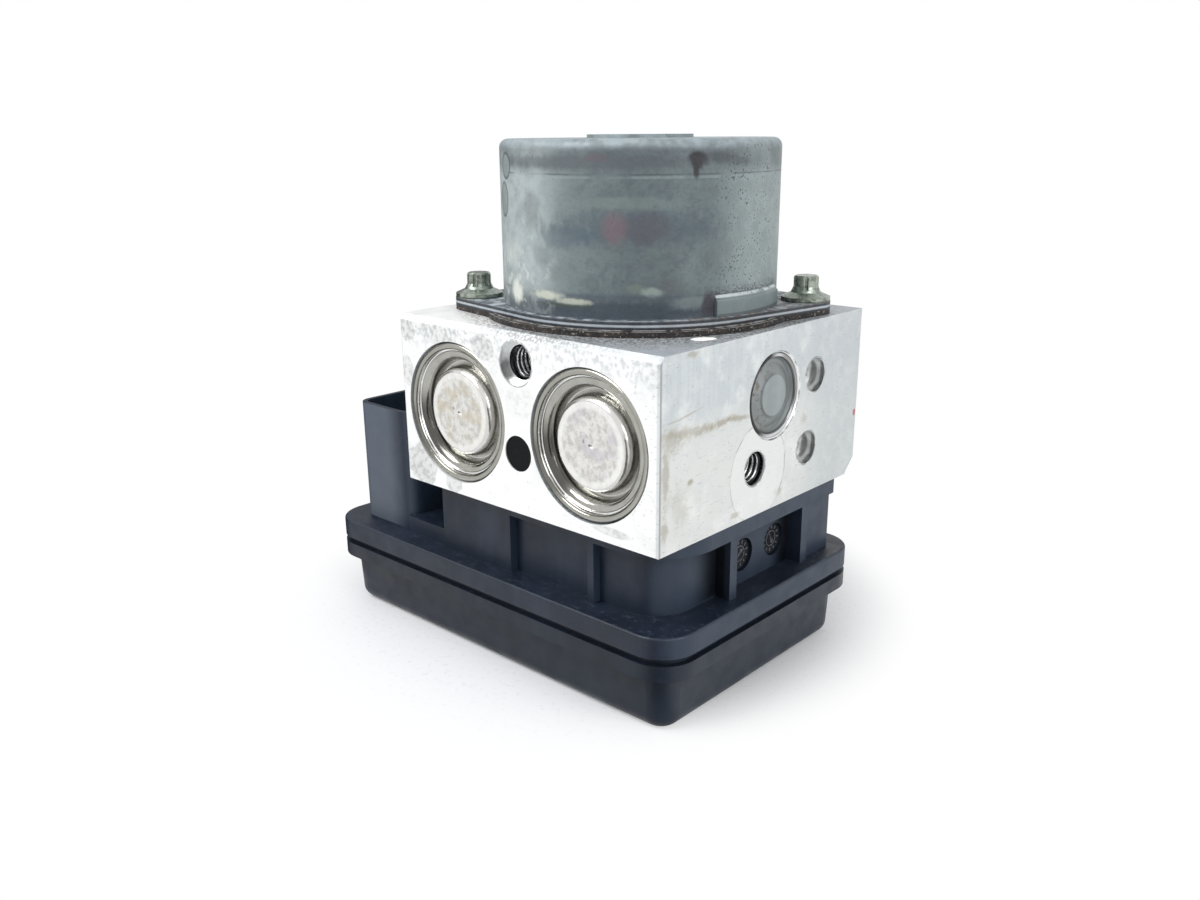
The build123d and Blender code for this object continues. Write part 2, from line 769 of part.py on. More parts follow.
def brush_holder():
    """The moulded plate that guides the brushes, with the stem that carries the motor's leads."""
    z = gasket_top_z + end_shield_thickness
    brush_z = commutator_z + (commutator_height - brush_height) / 2
    brush_top = brush_z + brush_height
    low, high = brush_z - seat_gap, brush_top + seat_gap
    disc = tube(can_inner_radius - 0.6, commutator_radius + 1.0, brush_plate_thickness, (0, 0, z))
    for side in (-1, 1):
        disc += brush_box(side, brush_wall, brush_plate_top_z, brush_top + brush_wall)
    for side in (-1, 1):
        disc -= Pos(-side * brush_wall, 0, 0) * brush_box(side, seat_gap, low, high)
    stem_z = base_z - lead_stem_reach
    disc += rod(lead_stem_radius, z - stem_z, (0, lead_y, stem_z))
    bore = terminal_radius + seat_gap
    return disc - [rod(bore, brush_plate_top_z - stem_z, (x, y, stem_z)) for x, y in lead_spots]


def motor_terminals():
    length = brush_plate_top_z + terminal_stub - board_top_z
    return group(rod(terminal_radius, length, (x, y, board_top_z)) for x, y in lead_spots)


def rotor_shaft():
    low = pump_z - eccentric_height / 2 - 1.5
    high = can_top_z - can_sheet + can_boss_height - 0.6
    profile = [(0, low), (shaft_radius - 0.6, low), (shaft_radius, low + 0.6), (shaft_radius, high - 0.6),
               (shaft_radius - 0.6, high), (0, high)]
    return turned(profile)


def armature_core():
    """The stack of laminations, with the slots that the windings lie in."""
    face = Circle(armature_radius) - Circle(shaft_radius)
    slot = Pos(armature_radius - slot_length / 2 - 1.6, 0) * Rectangle(slot_length, slot_width)
    mouth = Pos(armature_radius, 0) * Rectangle(4.0, 1.2)
    face -= [Rot(0, 0, 360 / armature_slots * n) * (slot + mouth) for n in range(armature_slots)]
    return Pos(0, 0, armature_z) * extrude(face, amount=armature_height)


def armature_windings():
    """The end turns of the windings, above and below the core."""
    inner = commutator_radius + 1.5
    bulge = winding_height * 0.35
    profile = [(inner, 0), (winding_radius, 0), (winding_radius, winding_height - bulge),
               (winding_radius - bulge, winding_height), (inner + bulge, winding_height),
               (inner, winding_height - bulge)]
    upper_inner = bearing_radius + 2.5
    upper = [(max(r, upper_inner), h) for r, h in profile]
    above, below = (0, 0, armature_z + armature_height), (0, 0, armature_z)
    return group([turned(upper, above), turned(profile, below, down)])


def commutator():
    ring = tube(commutator_radius, shaft_radius, commutator_height, (0, 0, commutator_z))
    slit = Pos(commutator_radius, 0, commutator_z) * Box(1.6, 0.5, commutator_height, align=LOW)
    ring -= [Rot(0, 0, 360 / armature_slots * (n + 0.5)) * slit for n in range(armature_slots)]
    return ring


def eccentric():
    z = pump_z - eccentric_height / 2
    return rod(eccentric_radius, eccentric_height, (0, -eccentric_offset, z)) - rod(
        shaft_radius, eccentric_height, (0, 0, z))


def eccentric_rollers():
    pitch = eccentric_radius + roller_radius + seat_gap
    z = pump_z - eccentric_height / 2 + roller_end_gap
    length = eccentric_height - 2 * roller_end_gap
    angles = [2 * pi * n / roller_count for n in range(roller_count)]
    spots = [(pitch * cos(angle), pitch * sin(angle) - eccentric_offset, z) for angle in angles]
    return group(rod(roller_radius, length, spot) for spot in spots)


def eccentric_ring():
    start = (0, -eccentric_offset, pump_z - eccentric_height / 2)
    return tube(ring_outer_radius, ring_outer_radius - eccentric_ring_wall, eccentric_height, start)


def motor_bolt(x, y):
    """A flange screw with a six-lobed outside head that flares out at its foot."""
    core = bolt_radius - seat_gap
    foot_z = bolt_flange_thickness + bolt_cone_height
    top_edge = foot_z + bolt_head_height
    profile = [(0, -bolt_length), (core - 0.5, -bolt_length), (core, -bolt_length + 0.8), (core, 0),
               (bolt_flange_radius, 0), (bolt_flange_radius, bolt_flange_thickness),
               (bolt_foot_radius, foot_z), (bolt_head_radius, foot_z + bolt_foot_height),
               (bolt_head_radius, top_edge - 0.4), (bolt_head_radius - 0.4, top_edge), (0, top_edge)]
    flute_spot = (bolt_head_radius + bolt_flute_offset, 0, foot_z + bolt_foot_height / 2)
    flute = rod(bolt_flute_radius, bolt_head_height, flute_spot)
    flutes = [Rot(0, 0, 60 * n) * flute for n in range(6)]
    return Pos(x, y, can_base_z) * (turned(profile) - flutes)


# ---------------------------------------------------------------- control unit
def flange_prism(z0, z1, inset):
    """A slab with the outline of the control unit's flange, drawn in by inset."""
    return plate(flange_left + inset, flange_right - inset, flange_front + inset, flange_back - inset,
                 z0, z1, flange_corner_radius - min(inset, flange_corner_radius - 2.0))


def ecu_cover():
    """The welded-on tub that closes the control unit from below."""
    rim = flange_prism(cover_flange_z, flange_z, 0)
    groove = flange_prism(groove_z, flange_z, -1.0) - flange_prism(groove_z, flange_z, weld_groove_inset)
    top = flange_prism(cover_flange_z, groove_z, cover_inset).faces().sort_by(Axis.Z)[0]
    tub = extrude(top, amount=cover_flange_z, dir=down, taper=cover_draft)
    tub = fillet(tub.faces().sort_by(Axis.Z)[0].edges(), cover_edge_radius)
    hollow = flange_prism(cover_wall, board_z, cover_inset + cover_wall + 0.8)
    seat = flange_prism(board_z, flange_z, weld_groove_inset + weld_rib_width)
    return rim - groove + tub - hollow - seat


def tub_outline(z0, z1, inset):
    """The central wall of the housing, rounded where its front and right walls meet."""
    prism = plate(tub_left + inset, tub_right - inset, tub_front + inset, tub_back - inset, z0, z1)
    uprights = prism.edges().filter_by(Axis.Z)
    right = uprights.group_by(Axis.X)[-1]
    prism = fillet(right.sort_by(Axis.Y)[0], tub_corner_radius - inset)
    rest = prism.edges().filter_by(Axis.Z).group_by(Axis.X)[0]
    return fillet(rest, 3.0 - inset if inset < 2.5 else 0.5)


def shroud_prism(z0, z1, inset):
    return plate(shroud_left + inset, shroud_left + shroud_width - inset, shroud_front + inset,
                 shroud_back - inset, z0, z1, shroud_corner_radius - inset)


def signal_pin_spots():
    first_x = shroud_middle_x - pin_pitch * (pin_rows - 1) / 2
    return [(first_x + pin_pitch * row, first_pin_y + pin_pitch * n)
            for row in range(pin_rows) for n in range(pins_per_row)]


def blade_spots():
    columns = (shroud_middle_x - blade_pitch / 2, shroud_middle_x + blade_pitch / 2)
    return [(x, first_blade_y + dy) for x in columns for dy in (0.0, blade_pitch)]


def pin(x, y, width, thickness, z0, z1):
    return plate(x - thickness / 2, x + thickness / 2, y - width / 2, y + width / 2, z0, z1)


def side_ribs():
    z0, z1 = deck_top_z, base_z
    ribs = [plate(tub_right - 1.0, right_x, y - side_rib_width / 2, y + side_rib_width / 2, z0, z1)
            for y in side_rib_spots]
    rear = plate(tub_right - 1.0, tub_right + rear_wall_proud, side_rib_spots[1], tub_back, z0, z1)
    return ribs + [rear]


def front_ribs():
    z0, z1 = deck_top_z, base_z
    ribs = [plate(x - front_rib_width / 2, x + front_rib_width / 2, rim_front, tub_front + 1.0, z0, z1)
            for x in front_rib_spots]
    thick = plate(tub_left, front_rib_spots[0], rim_front, tub_front + 1.0, z0, z1)
    return ribs + [thick]


def housing_rim():
    """The band round the top of the tub that seals against the block."""
    band = plate(tub_left, right_x, rim_front, tub_back, base_z - rim_height, base_z)
    corner = band.edges().filter_by(Axis.Z).group_by(Axis.X)[-1].sort_by(Axis.Y)[0]
    return fillet(corner, tub_corner_radius + right_x - tub_right)


def date_dials():
    """The two round pockets that moulding-date inserts leave in the right wall."""
    return [rod(dial_radius, dial_depth, (tub_right - dial_depth, y, dial_height), (1, 0, 0))
            for y in (front_dial_y, rear_dial_y)]


def ecu_housing():
    """The moulded upper half: flange, central tub, connector shroud and the web between them."""
    shell = flange_prism(flange_z, deck_top_z, 0)
    shell = fillet(shell.faces().sort_by(Axis.Z)[-1].edges(), 0.6)
    shell += tub_outline(deck_z, base_z, 0)
    shell += housing_rim()
    shell += side_ribs() + front_ribs()
    shell += shroud_prism(deck_z, deck_top_z + shroud_height, 0)
    shell += plate(shroud_left + shroud_width - shroud_wall, tub_left + 1.0, shroud_front, shroud_back - 3.0,
                   deck_z, deck_top_z + plinth_height)
    shell -= flange_prism(flange_z, deck_z, flange_rim_width)
    shell -= tub_outline(deck_z, base_z, tub_wall)
    shell -= date_dials()
    shell -= shroud_prism(deck_top_z, deck_top_z + shroud_height, shroud_wall)
    shell += carrier_ledges()
    boss_z = base_z - screw_boss_height
    for x, y in housing_screw_spots:
        reach_in = tub_wall - screw_arm_in_wall
        wall_x = tub_left + reach_in if x < middle_x else tub_right - reach_in
        shell += rod(screw_boss_radius, screw_boss_height, (x, y, boss_z))
        shell += plate(min(x, wall_x), max(x, wall_x), y - screw_arm_width / 2, y + screw_arm_width / 2,
                       boss_z, base_z)
    shell -= [rod(housing_screw_radius + edge_gap, screw_boss_height, (x, y, boss_z))
              for x, y in housing_screw_spots]
    post_bore = board_screw_length - board_thickness + board_screw_spare
    shell += [rod(post_radius, deck_z - board_top_z, (x, y, board_top_z)) for x, y in post_spots]
    shell -= [rod(board_screw_radius, post_bore, (x, y, board_top_z)) for x, y in post_spots]
    hole = pin_size + 2 * seat_gap
    shell -= [pin(x, y, hole, hole, deck_z, deck_top_z) for x, y in signal_pin_spots()]
    slot = (blade_width + 2 * seat_gap, blade_thickness + 2 * seat_gap)
    shell -= [pin(x, y, *slot, deck_z, deck_top_z) for x, y in blade_spots()]
    return shell


def carrier_ledges():
    """The two ledges inside the tub that the coil carrier rests on."""
    z1 = carrier_top_z - carrier_thickness
    z0 = z1 - ledge_thickness
    inside_left, inside_right = tub_left + tub_wall, tub_right - tub_wall
    inside_back = tub_back - tub_wall
    left = plate(inside_left - 0.5, inside_left + ledge_width, inlet_row_y - coil_radius, inside_back + 0.5,
                 z0, z1)
    back = plate(inside_left - 0.5, inside_right + 0.5, inside_back - ledge_width, inside_back + 0.5, z0, z1)
    return [left, back]


def coil_carrier():
    """The lattice plate that the coils stand on."""
    x0, x1 = tub_left + tub_wall + carrier_gap, valve_columns[-1] + coil_radius + carrier_margin
    y0, y1 = inlet_row_y - coil_radius - carrier_margin, tub_back - tub_wall - carrier_gap
    z = carrier_top_z - carrier_thickness
    body = plate(x0, x1, y0, y1, z, carrier_top_z)
    cuts = [rod(dome_radius + carrier_margin, carrier_thickness, (x, y, z)) for x, y in valve_spots]
    cuts += [rod(coil_lead_radius + running_gap, carrier_thickness, (lead_x, y, z))
             for x, y in valve_spots for lead_x in coil_lead_columns(x)]
    cuts += [rod(housing_screw_head + carrier_margin, carrier_thickness, (x, y, z))
             for x, y in housing_screw_spots]
    return body - cuts


def housing_screw(x, y):
    z = base_z - screw_boss_height
    top = screw_boss_height + screw_bite
    radius = housing_screw_radius - seat_gap
    profile = [(0, -housing_screw_head_height), (housing_screw_head, -housing_screw_head_height),
               (housing_screw_head, 0), (radius, 0), (radius, top - 0.6), (radius - 0.6, top), (0, top)]
    return turned(profile, (x, y, z))


def circuit_board():
    board = flange_prism(board_z, board_top_z, board_edge)
    hole = board_screw_radius + edge_gap
    return board - [rod(hole, board_thickness, (x, y, board_z)) for x, y in post_spots]


def board_screw(x, y):
    head = board_screw_head_height
    radius = board_screw_radius - seat_gap
    profile = [(0, -head), (board_screw_head, -head), (board_screw_head, 0), (radius, 0),
               (radius, board_screw_length), (0, board_screw_length)]
    return turned(profile, (x, y, board_z))


def board_chips():
    """The processor, the valve drivers and the relay, on the underside of the board."""
    under = Plane(origin=(*board_middle, board_z))
    return group(under * Pos(x, y, -height / 2) * Box(width, depth, height)
                 for x, y, width, depth, height in chip_plan)


def capacitors():
    first_x = flange_left + board_edge + capacitor_in_left
    y = flange_back - board_edge - capacitor_in_back
    return group(rod(capacitor_radius, capacitor_height, (first_x + capacitor_pitch * n, y, board_z), down)
                 for n in range(capacitor_count))


# ---------------------------------------------------------------- the module's nodes
def nodes():
    rows = {"inlet": inlet_row_y, "outlet": outlet_row_y}
    parts = {
        "valve_block": valve_block(),
        "vent_plug": vent_plug(),
        "channel_plugs": group(channel_plug(side, *spot) for side in (-1, 1) for spot in channels),
        "motor_can": motor_can(),
        "motor_gasket": motor_gasket(),
        "motor_end_shield": end_shield(),
        "upper_bearing": bearing(bearing_radius, can_top_z - can_sheet - bearing_height),
        "lower_bearing": bearing(lower_bearing_radius, hub_base_z + seat_gap + hub_floor),
        "bearing_retainer": bearing_retainer(),
        "motor_magnets": magnets(),
        "motor_brushes": group(brush(side) for side in (-1, 1)),
        "brush_holder": brush_holder(),
        "motor_terminals": motor_terminals(),
        "motor_bolts": group(motor_bolt(x, y) for x, y in bolt_spots),
        "rotor_shaft": rotor_shaft(),
        "armature_core": armature_core(),
        "armature_windings": armature_windings(),
        "commutator": commutator(),
        "eccentric": eccentric(),
        "eccentric_rollers": eccentric_rollers(),
        "eccentric_ring": eccentric_ring(),
        "outlet_check_balls": group(outlet_ball(side) for side in (-1, 1)),
        "coil_yokes": group(coil_yoke(x, y) for x, y in valve_spots),
        "coil_windings": group(coil_winding(x, y) for x, y in valve_spots),
        "coil_leads": group(lead for x, y in valve_spots for lead in coil_leads(x, y)),
        "coil_carrier": coil_carrier(),
        "ecu_housing": ecu_housing(),
        "ecu_cover": ecu_cover(),
        "housing_screws": group(housing_screw(x, y) for x, y in housing_screw_spots),
        "circuit_board": circuit_board(),
        "board_screws": group(board_screw(x, y) for x, y in post_spots),
        "board_chips": board_chips(),
        "board_capacitors": capacitors(),
        "signal_pins": group(pin(x, y, pin_size, pin_size, board_top_z, deck_top_z + pin_reach)
                             for x, y in signal_pin_spots()),
        "power_blades": group(pin(x, y, blade_width, blade_thickness, board_top_z, deck_top_z + pin_reach)
                              for x, y in blade_spots()),
    }
    for name, y in rows.items():
        parts[f"{name}_valves"] = group(valve_cartridge(x, y) for x in valve_columns)
    for name, make in {
        "accumulator_cap": accumulator_cap,
        "accumulator_spring": accumulator_spring,
        "accumulator_piston": accumulator_piston,
        "accumulator_seal": accumulator_seal,
        "pump_plug": pump_plug,
        "pump_sleeve": pump_sleeve,
        "pump_spring": pump_spring,
        "pump_piston": pump_piston,
    }.items():
        for side, shape in both_sides(make).items():
            parts[f"{name}_{side}"] = shape
    return parts


os.makedirs("parts", exist_ok=True)
for node, shape in nodes().items():
    export_step(shape, f"parts/{node}.step")
    print(f"{node}: {len(shape.solids())} solids, {shape.volume:.0f} mm3")
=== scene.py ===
import math
from functools import partial

import bpy
from mathutils import Matrix, Vector


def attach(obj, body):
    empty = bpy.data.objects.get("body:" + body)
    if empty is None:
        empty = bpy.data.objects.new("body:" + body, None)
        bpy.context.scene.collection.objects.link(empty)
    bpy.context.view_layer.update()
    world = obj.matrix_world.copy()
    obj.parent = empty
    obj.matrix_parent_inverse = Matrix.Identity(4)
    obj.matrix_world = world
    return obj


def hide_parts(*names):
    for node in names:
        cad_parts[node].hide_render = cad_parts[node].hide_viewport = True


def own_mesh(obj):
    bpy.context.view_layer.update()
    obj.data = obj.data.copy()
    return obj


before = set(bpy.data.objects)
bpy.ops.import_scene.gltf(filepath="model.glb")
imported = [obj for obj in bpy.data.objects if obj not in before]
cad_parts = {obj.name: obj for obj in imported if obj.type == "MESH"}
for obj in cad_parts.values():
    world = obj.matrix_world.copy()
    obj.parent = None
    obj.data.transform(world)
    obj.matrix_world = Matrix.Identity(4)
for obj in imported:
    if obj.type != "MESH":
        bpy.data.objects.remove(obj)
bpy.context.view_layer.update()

# Hydraulic brake modulator. Lengths are millimetres in the part's own frame unless a note says
# otherwise: +Z up, origin on the floor under the motor axis, -Y towards the two round caps.

mm = 0.001
block = {"right": 40.3, "left": -41.9, "front": -41.3, "back": 37.2, "middle": -0.8, "top": 85.0}


def linearColour(hexText):
    channels = [int(hexText[i:i + 2], 16) / 255 for i in (1, 3, 5)]
    linear = [c / 12.92 if c <= 0.04045 else ((c + 0.055) / 1.055) ** 2.4 for c in channels]
    return (*linear, 1.0)


def addNode(tree, kind, inputs=(), out=0, **settings):
    # one node with its settings and links; the inputs are in order or by name or number in a dictionary;
    # gives back one output, or the whole node for out=None
    node = tree.nodes.new("ShaderNode" + kind)
    for name, value in settings.items():
        setattr(node, name, value)
    for name, value in inputs.items() if isinstance(inputs, dict) else enumerate(inputs):
        if isinstance(value, bpy.types.NodeSocket):
            tree.links.new(value, node.inputs[name])
        else:
            node.inputs[name].default_value = linearColour(value) if isinstance(value, str) else value
    return node if out is None else node.outputs[out]


def emptyTree(owner):
    owner.use_nodes = True
    owner.node_tree.nodes.clear()
    return owner.node_tree


def patches(tree, point, size, low, high, detail=3, toLow=0, toHigh=1, stretch=(1, 1, 1)):
    # soft random patches about size mm across, as a level from toLow to toHigh
    point = addNode(tree, "VectorMath", (point, stretch), operation="MULTIPLY")
    noise = addNode(tree, "TexNoise", {"Vector": point, "Scale": 1 / size, "Detail": detail})
    return addNode(tree, "MapRange", (noise, low, high, toLow, toHigh), interpolation_type="SMOOTHSTEP")


def awayFrom(tree, value, level):
    # how far the value is from the level, on either side
    gap = addNode(tree, "Math", (value, level), operation="SUBTRACT")
    return addNode(tree, "Math", (gap,), operation="ABSOLUTE")


def distance(tree, point, centre=None, keep=None):
    # how far the point is from the centre; keep is 1 for each direction that counts and 0 for the rest
    if centre:
        point = addNode(tree, "VectorMath", (point, centre), operation="SUBTRACT")
    if keep:
        point = addNode(tree, "VectorMath", (point, keep), operation="MULTIPLY")
    return addNode(tree, "VectorMath", (point,), out="Value", operation="LENGTH")


def dryOutline(tree, point, size, level, width):
    # the thin closed lines that dried drops leave
    noise = addNode(tree, "TexNoise", {"Vector": point, "Scale": 1 / size, "Detail": 2.5})
    return addNode(tree, "MapRange", (awayFrom(tree, noise, level), 0, width, 1, 0))


def spot(tree, point, centre, radii, soft=0.25, ragged=0, grain=1.5, turn=0, rim=0):
    # 1 inside an ellipsoid and 0 outside; ragged breaks its border up, rim keeps only an edge in mm
    offset = addNode(tree, "VectorMath", (point, centre), operation="SUBTRACT")
    offset = addNode(tree, "VectorRotate", {0: offset, "Angle": -math.radians(turn)}, rotation_type="X_AXIS")
    reach = distance(tree, offset, keep=[1 / r for r in radii])
    noise = addNode(tree, "TexNoise", {"Vector": point, "Scale": 1 / grain, "Detail": 4})
    reach = addNode(tree, "Math", (noise, ragged, reach), operation="MULTIPLY_ADD")
    edge = 1 + ragged / 2
    if rim:
        width = rim / min(radii)
        return addNode(tree, "MapRange", (awayFrom(tree, reach, edge), width * 0.3, width, 1, 0))
    return addNode(tree, "MapRange", (reach, edge - soft, edge + soft, 1, 0), interpolation_type="SMOOTHSTEP")


def meet(tree, *terms):
    # how far every term holds; a term (value, a, b) rises smoothly from 0 at a to 1 at b
    level = None
    for term in terms:
        if isinstance(term, tuple):
            term = addNode(tree, "MapRange", term, interpolation_type="SMOOTHSTEP")
        level = term if level is None else addNode(tree, "Math", (level, term), operation="MULTIPLY")
    return level


def layColours(tree, look, colour, *layers):
    # each layer is its terms, its colour and its strength, laid over what is there; a colour is a name
    # in look, a hex value or an output
    for *terms, tint, strength in layers:
        cover = addNode(tree, "Math", (meet(tree, *terms), strength), operation="MULTIPLY")
        colour, tint = (look.get(tone, tone) for tone in (colour, tint))
        colour = addNode(tree, "Mix", {0: cover, 6: colour, 7: tint}, out=2, data_type="RGBA")
    return colour


def finishSurface(made, shader, colour, roughness, height, depth, metal=None):
    # links the colour, the roughness, the metal where it varies, and a relief of the given depth in mm
    tree = made.node_tree
    relief = addNode(tree, "Bump", {"Height": height, "Distance": depth * mm, "Strength": 1})
    links = {"Base Color": colour, "Roughness": roughness, "Normal": relief, "Metallic": metal}
    for name, value in links.items():
        if value is not None:
            tree.links.new(value, shader.inputs[name])
    return made


def startMaterial(name, look):
    # a Principled surface: its tree, the point on it in millimetres, that point's three parts and the
    # way it faces, then patches, layColours and finishSurface made ready for it
    made = bpy.data.materials.new(name)
    tree = emptyTree(made)
    shader = addNode(tree, "BsdfPrincipled", {
        "Base Color": look["colour"], "Metallic": look["metallic"], "Roughness": look["roughness"],
        "Specular IOR Level": look.get("specular", 0.5)}, out=None)
    addNode(tree, "OutputMaterial", (shader.outputs[0],), out=None)
    place = addNode(tree, "TexCoord", out=None).outputs
    point = addNode(tree, "VectorMath", {0: place["Object"], 3: 1 / mm}, operation="SCALE")
    axes = addNode(tree, "SeparateXYZ", (point,), out=None).outputs
    facing = addNode(tree, "SeparateXYZ", (place["Normal"],), out=None).outputs
    return (tree, point, axes, facing, partial(patches, tree, point), partial(layColours, tree, look),
            partial(finishSurface, made, shader))


print("stage: metal finishes")

# Aluminium alloy, extruded and face-milled: a pale satin sheen with fine cutter lines, dull grey
# patches where brake fluid dried, a brown seep across the side, bright walls in the drilled holes.
blockFinish = {
    "colour": "#f1f2f1", "metallic": 0.32, "roughness": 0.46, "cloud": "#d6d9d9", "blot": "#aaadaa",
    "scratch": "#8f9394", "edge": "#8b8f92", "chamferHighlight": "#f4f5f5", "topEdge": "#a8aeb1",
    "sideUpper": "#c7cdcf", "sideLower": "#dcdedb", "sideRear": "#c2c8ca", "sideBrush": "#e2e8ea",
    "sidePale": "#eef0ee", "sideFleck": "#8b9091", "seep": "#ada591", "seepDark": "#8a8170",
    "print": "#7f8487", "paint": "#b8303c", "film": "#aab1b8", "grit": "#625d57", "bore": "#eceeed",
    "boreMetal": 0.6,
    "boreRoughness": 0.22, "boreShade": "#3a3c3e", "boreRimShade": "#5d6163", "spotDepth": 4}
seepSpots = [   # centre, half sizes, turn, strength of the brown seep and smaller marks on the right side
    ((-14, 67.5), (4.6, 0.7), -6, 0.5), ((-20.5, 67.8), (5.6, 0.8), 3, 0.5),
    ((-30.5, 68), (8.5, 1.2), -3, 0.36), ((-37, 67.4), (4.2, 2.6), 0, 0.34),
    ((-31, 72), (3.4, 0.25), 8, 0.3), ((-36.5, 71.3), (3.6, 0.3), 4, 0.25),
    ((-39.4, 60.5), (1.3, 7), 0, 0.4), ((-31, 84.2), (2, 0.7), 0, 0.4),
    ((-31.2, 57.2), (0.8, 0.6), 0, 0.6), ((-39.6, 48.6), (1.2, 2.6), 0, 0.4),
    ((-14.4, 45.2), (2, 0.7), 0, 0.35), ((-34.5, 53), (3, 5), 10, 0.16),
    ((2.5, 46.4), (1.8, 0.8), 0, 0.3), ((12.5, 62), (1.4, 1.4), 0, 0.25)]
frontBlots = [   # centre, half sizes and strength of the dried patches on the front
    ((-39, 81.4), (2.6, 2.8), 0.5), ((-27.5, 82), (6.4, 2.6), 0.3),
    ((-39.4, 70.8), (2.2, 3.4), 0.4), ((-35.5, 47.6), (5.4, 5), 0.6),
    ((-24, 45.4), (2.6, 2.4), 0.5), ((-11.8, 80.6), (3.4, 2.8), 0.45),
    ((0.6, 69.4), (5, 3.6), 0.18), ((27, 45.6), (4.6, 0.9), 0.4)]
rearPorts = {   # across, height and radius of the tapped ports in the rear face
    "wheel_port_thread_1": (-32.8, 70, 5), "wheel_port_thread_2": (-12.8, 70, 5),
    "wheel_port_thread_3": (11.2, 70, 5), "wheel_port_thread_4": (31.2, 70, 5),
    "master_port_thread_left": (-20.8, 56, 6), "master_port_thread_right": (19.2, 56, 6)}
boreSpots = [   # axis, its side or 0 for both, centre in the other two axes and radius of every drilled hole
    ("Y", -1, (block["middle"], 78.2), 5.06), ("X", 1, (-7.3, 54.3), 4), ("X", 0, (16.6, 71.8), 4.1),
    ("X", 0, (14, 54.55), 4.1), ("X", 0, (0, 69.8), 9.95),
    *(("Y", 1, (across, height), radius) for across, height, radius in rearPorts.values())]
boreShades = [   # centre, half sizes and strength of the painted shade arcs inside the drilled holes
    ((40.1, 20.6, 71.2), (0.9, 1.6, 4.2), 0.8), ((40, 18.6, 68.2), (1.2, 2.2, 1.5), 0.75),
    ((37.4, 20, 71), (0.9, 2.2, 3.4), 0.7), ((40.1, 18, 54), (0.9, 1.6, 4.2), 0.8),
    ((40, 16, 51), (1.2, 2.2, 1.5), 0.75), ((37.4, 17.4, 53.8), (0.9, 2.2, 3.4), 0.7),
    ((-5.4, -40, 75.8), (2, 3, 2.4), 0.55)]


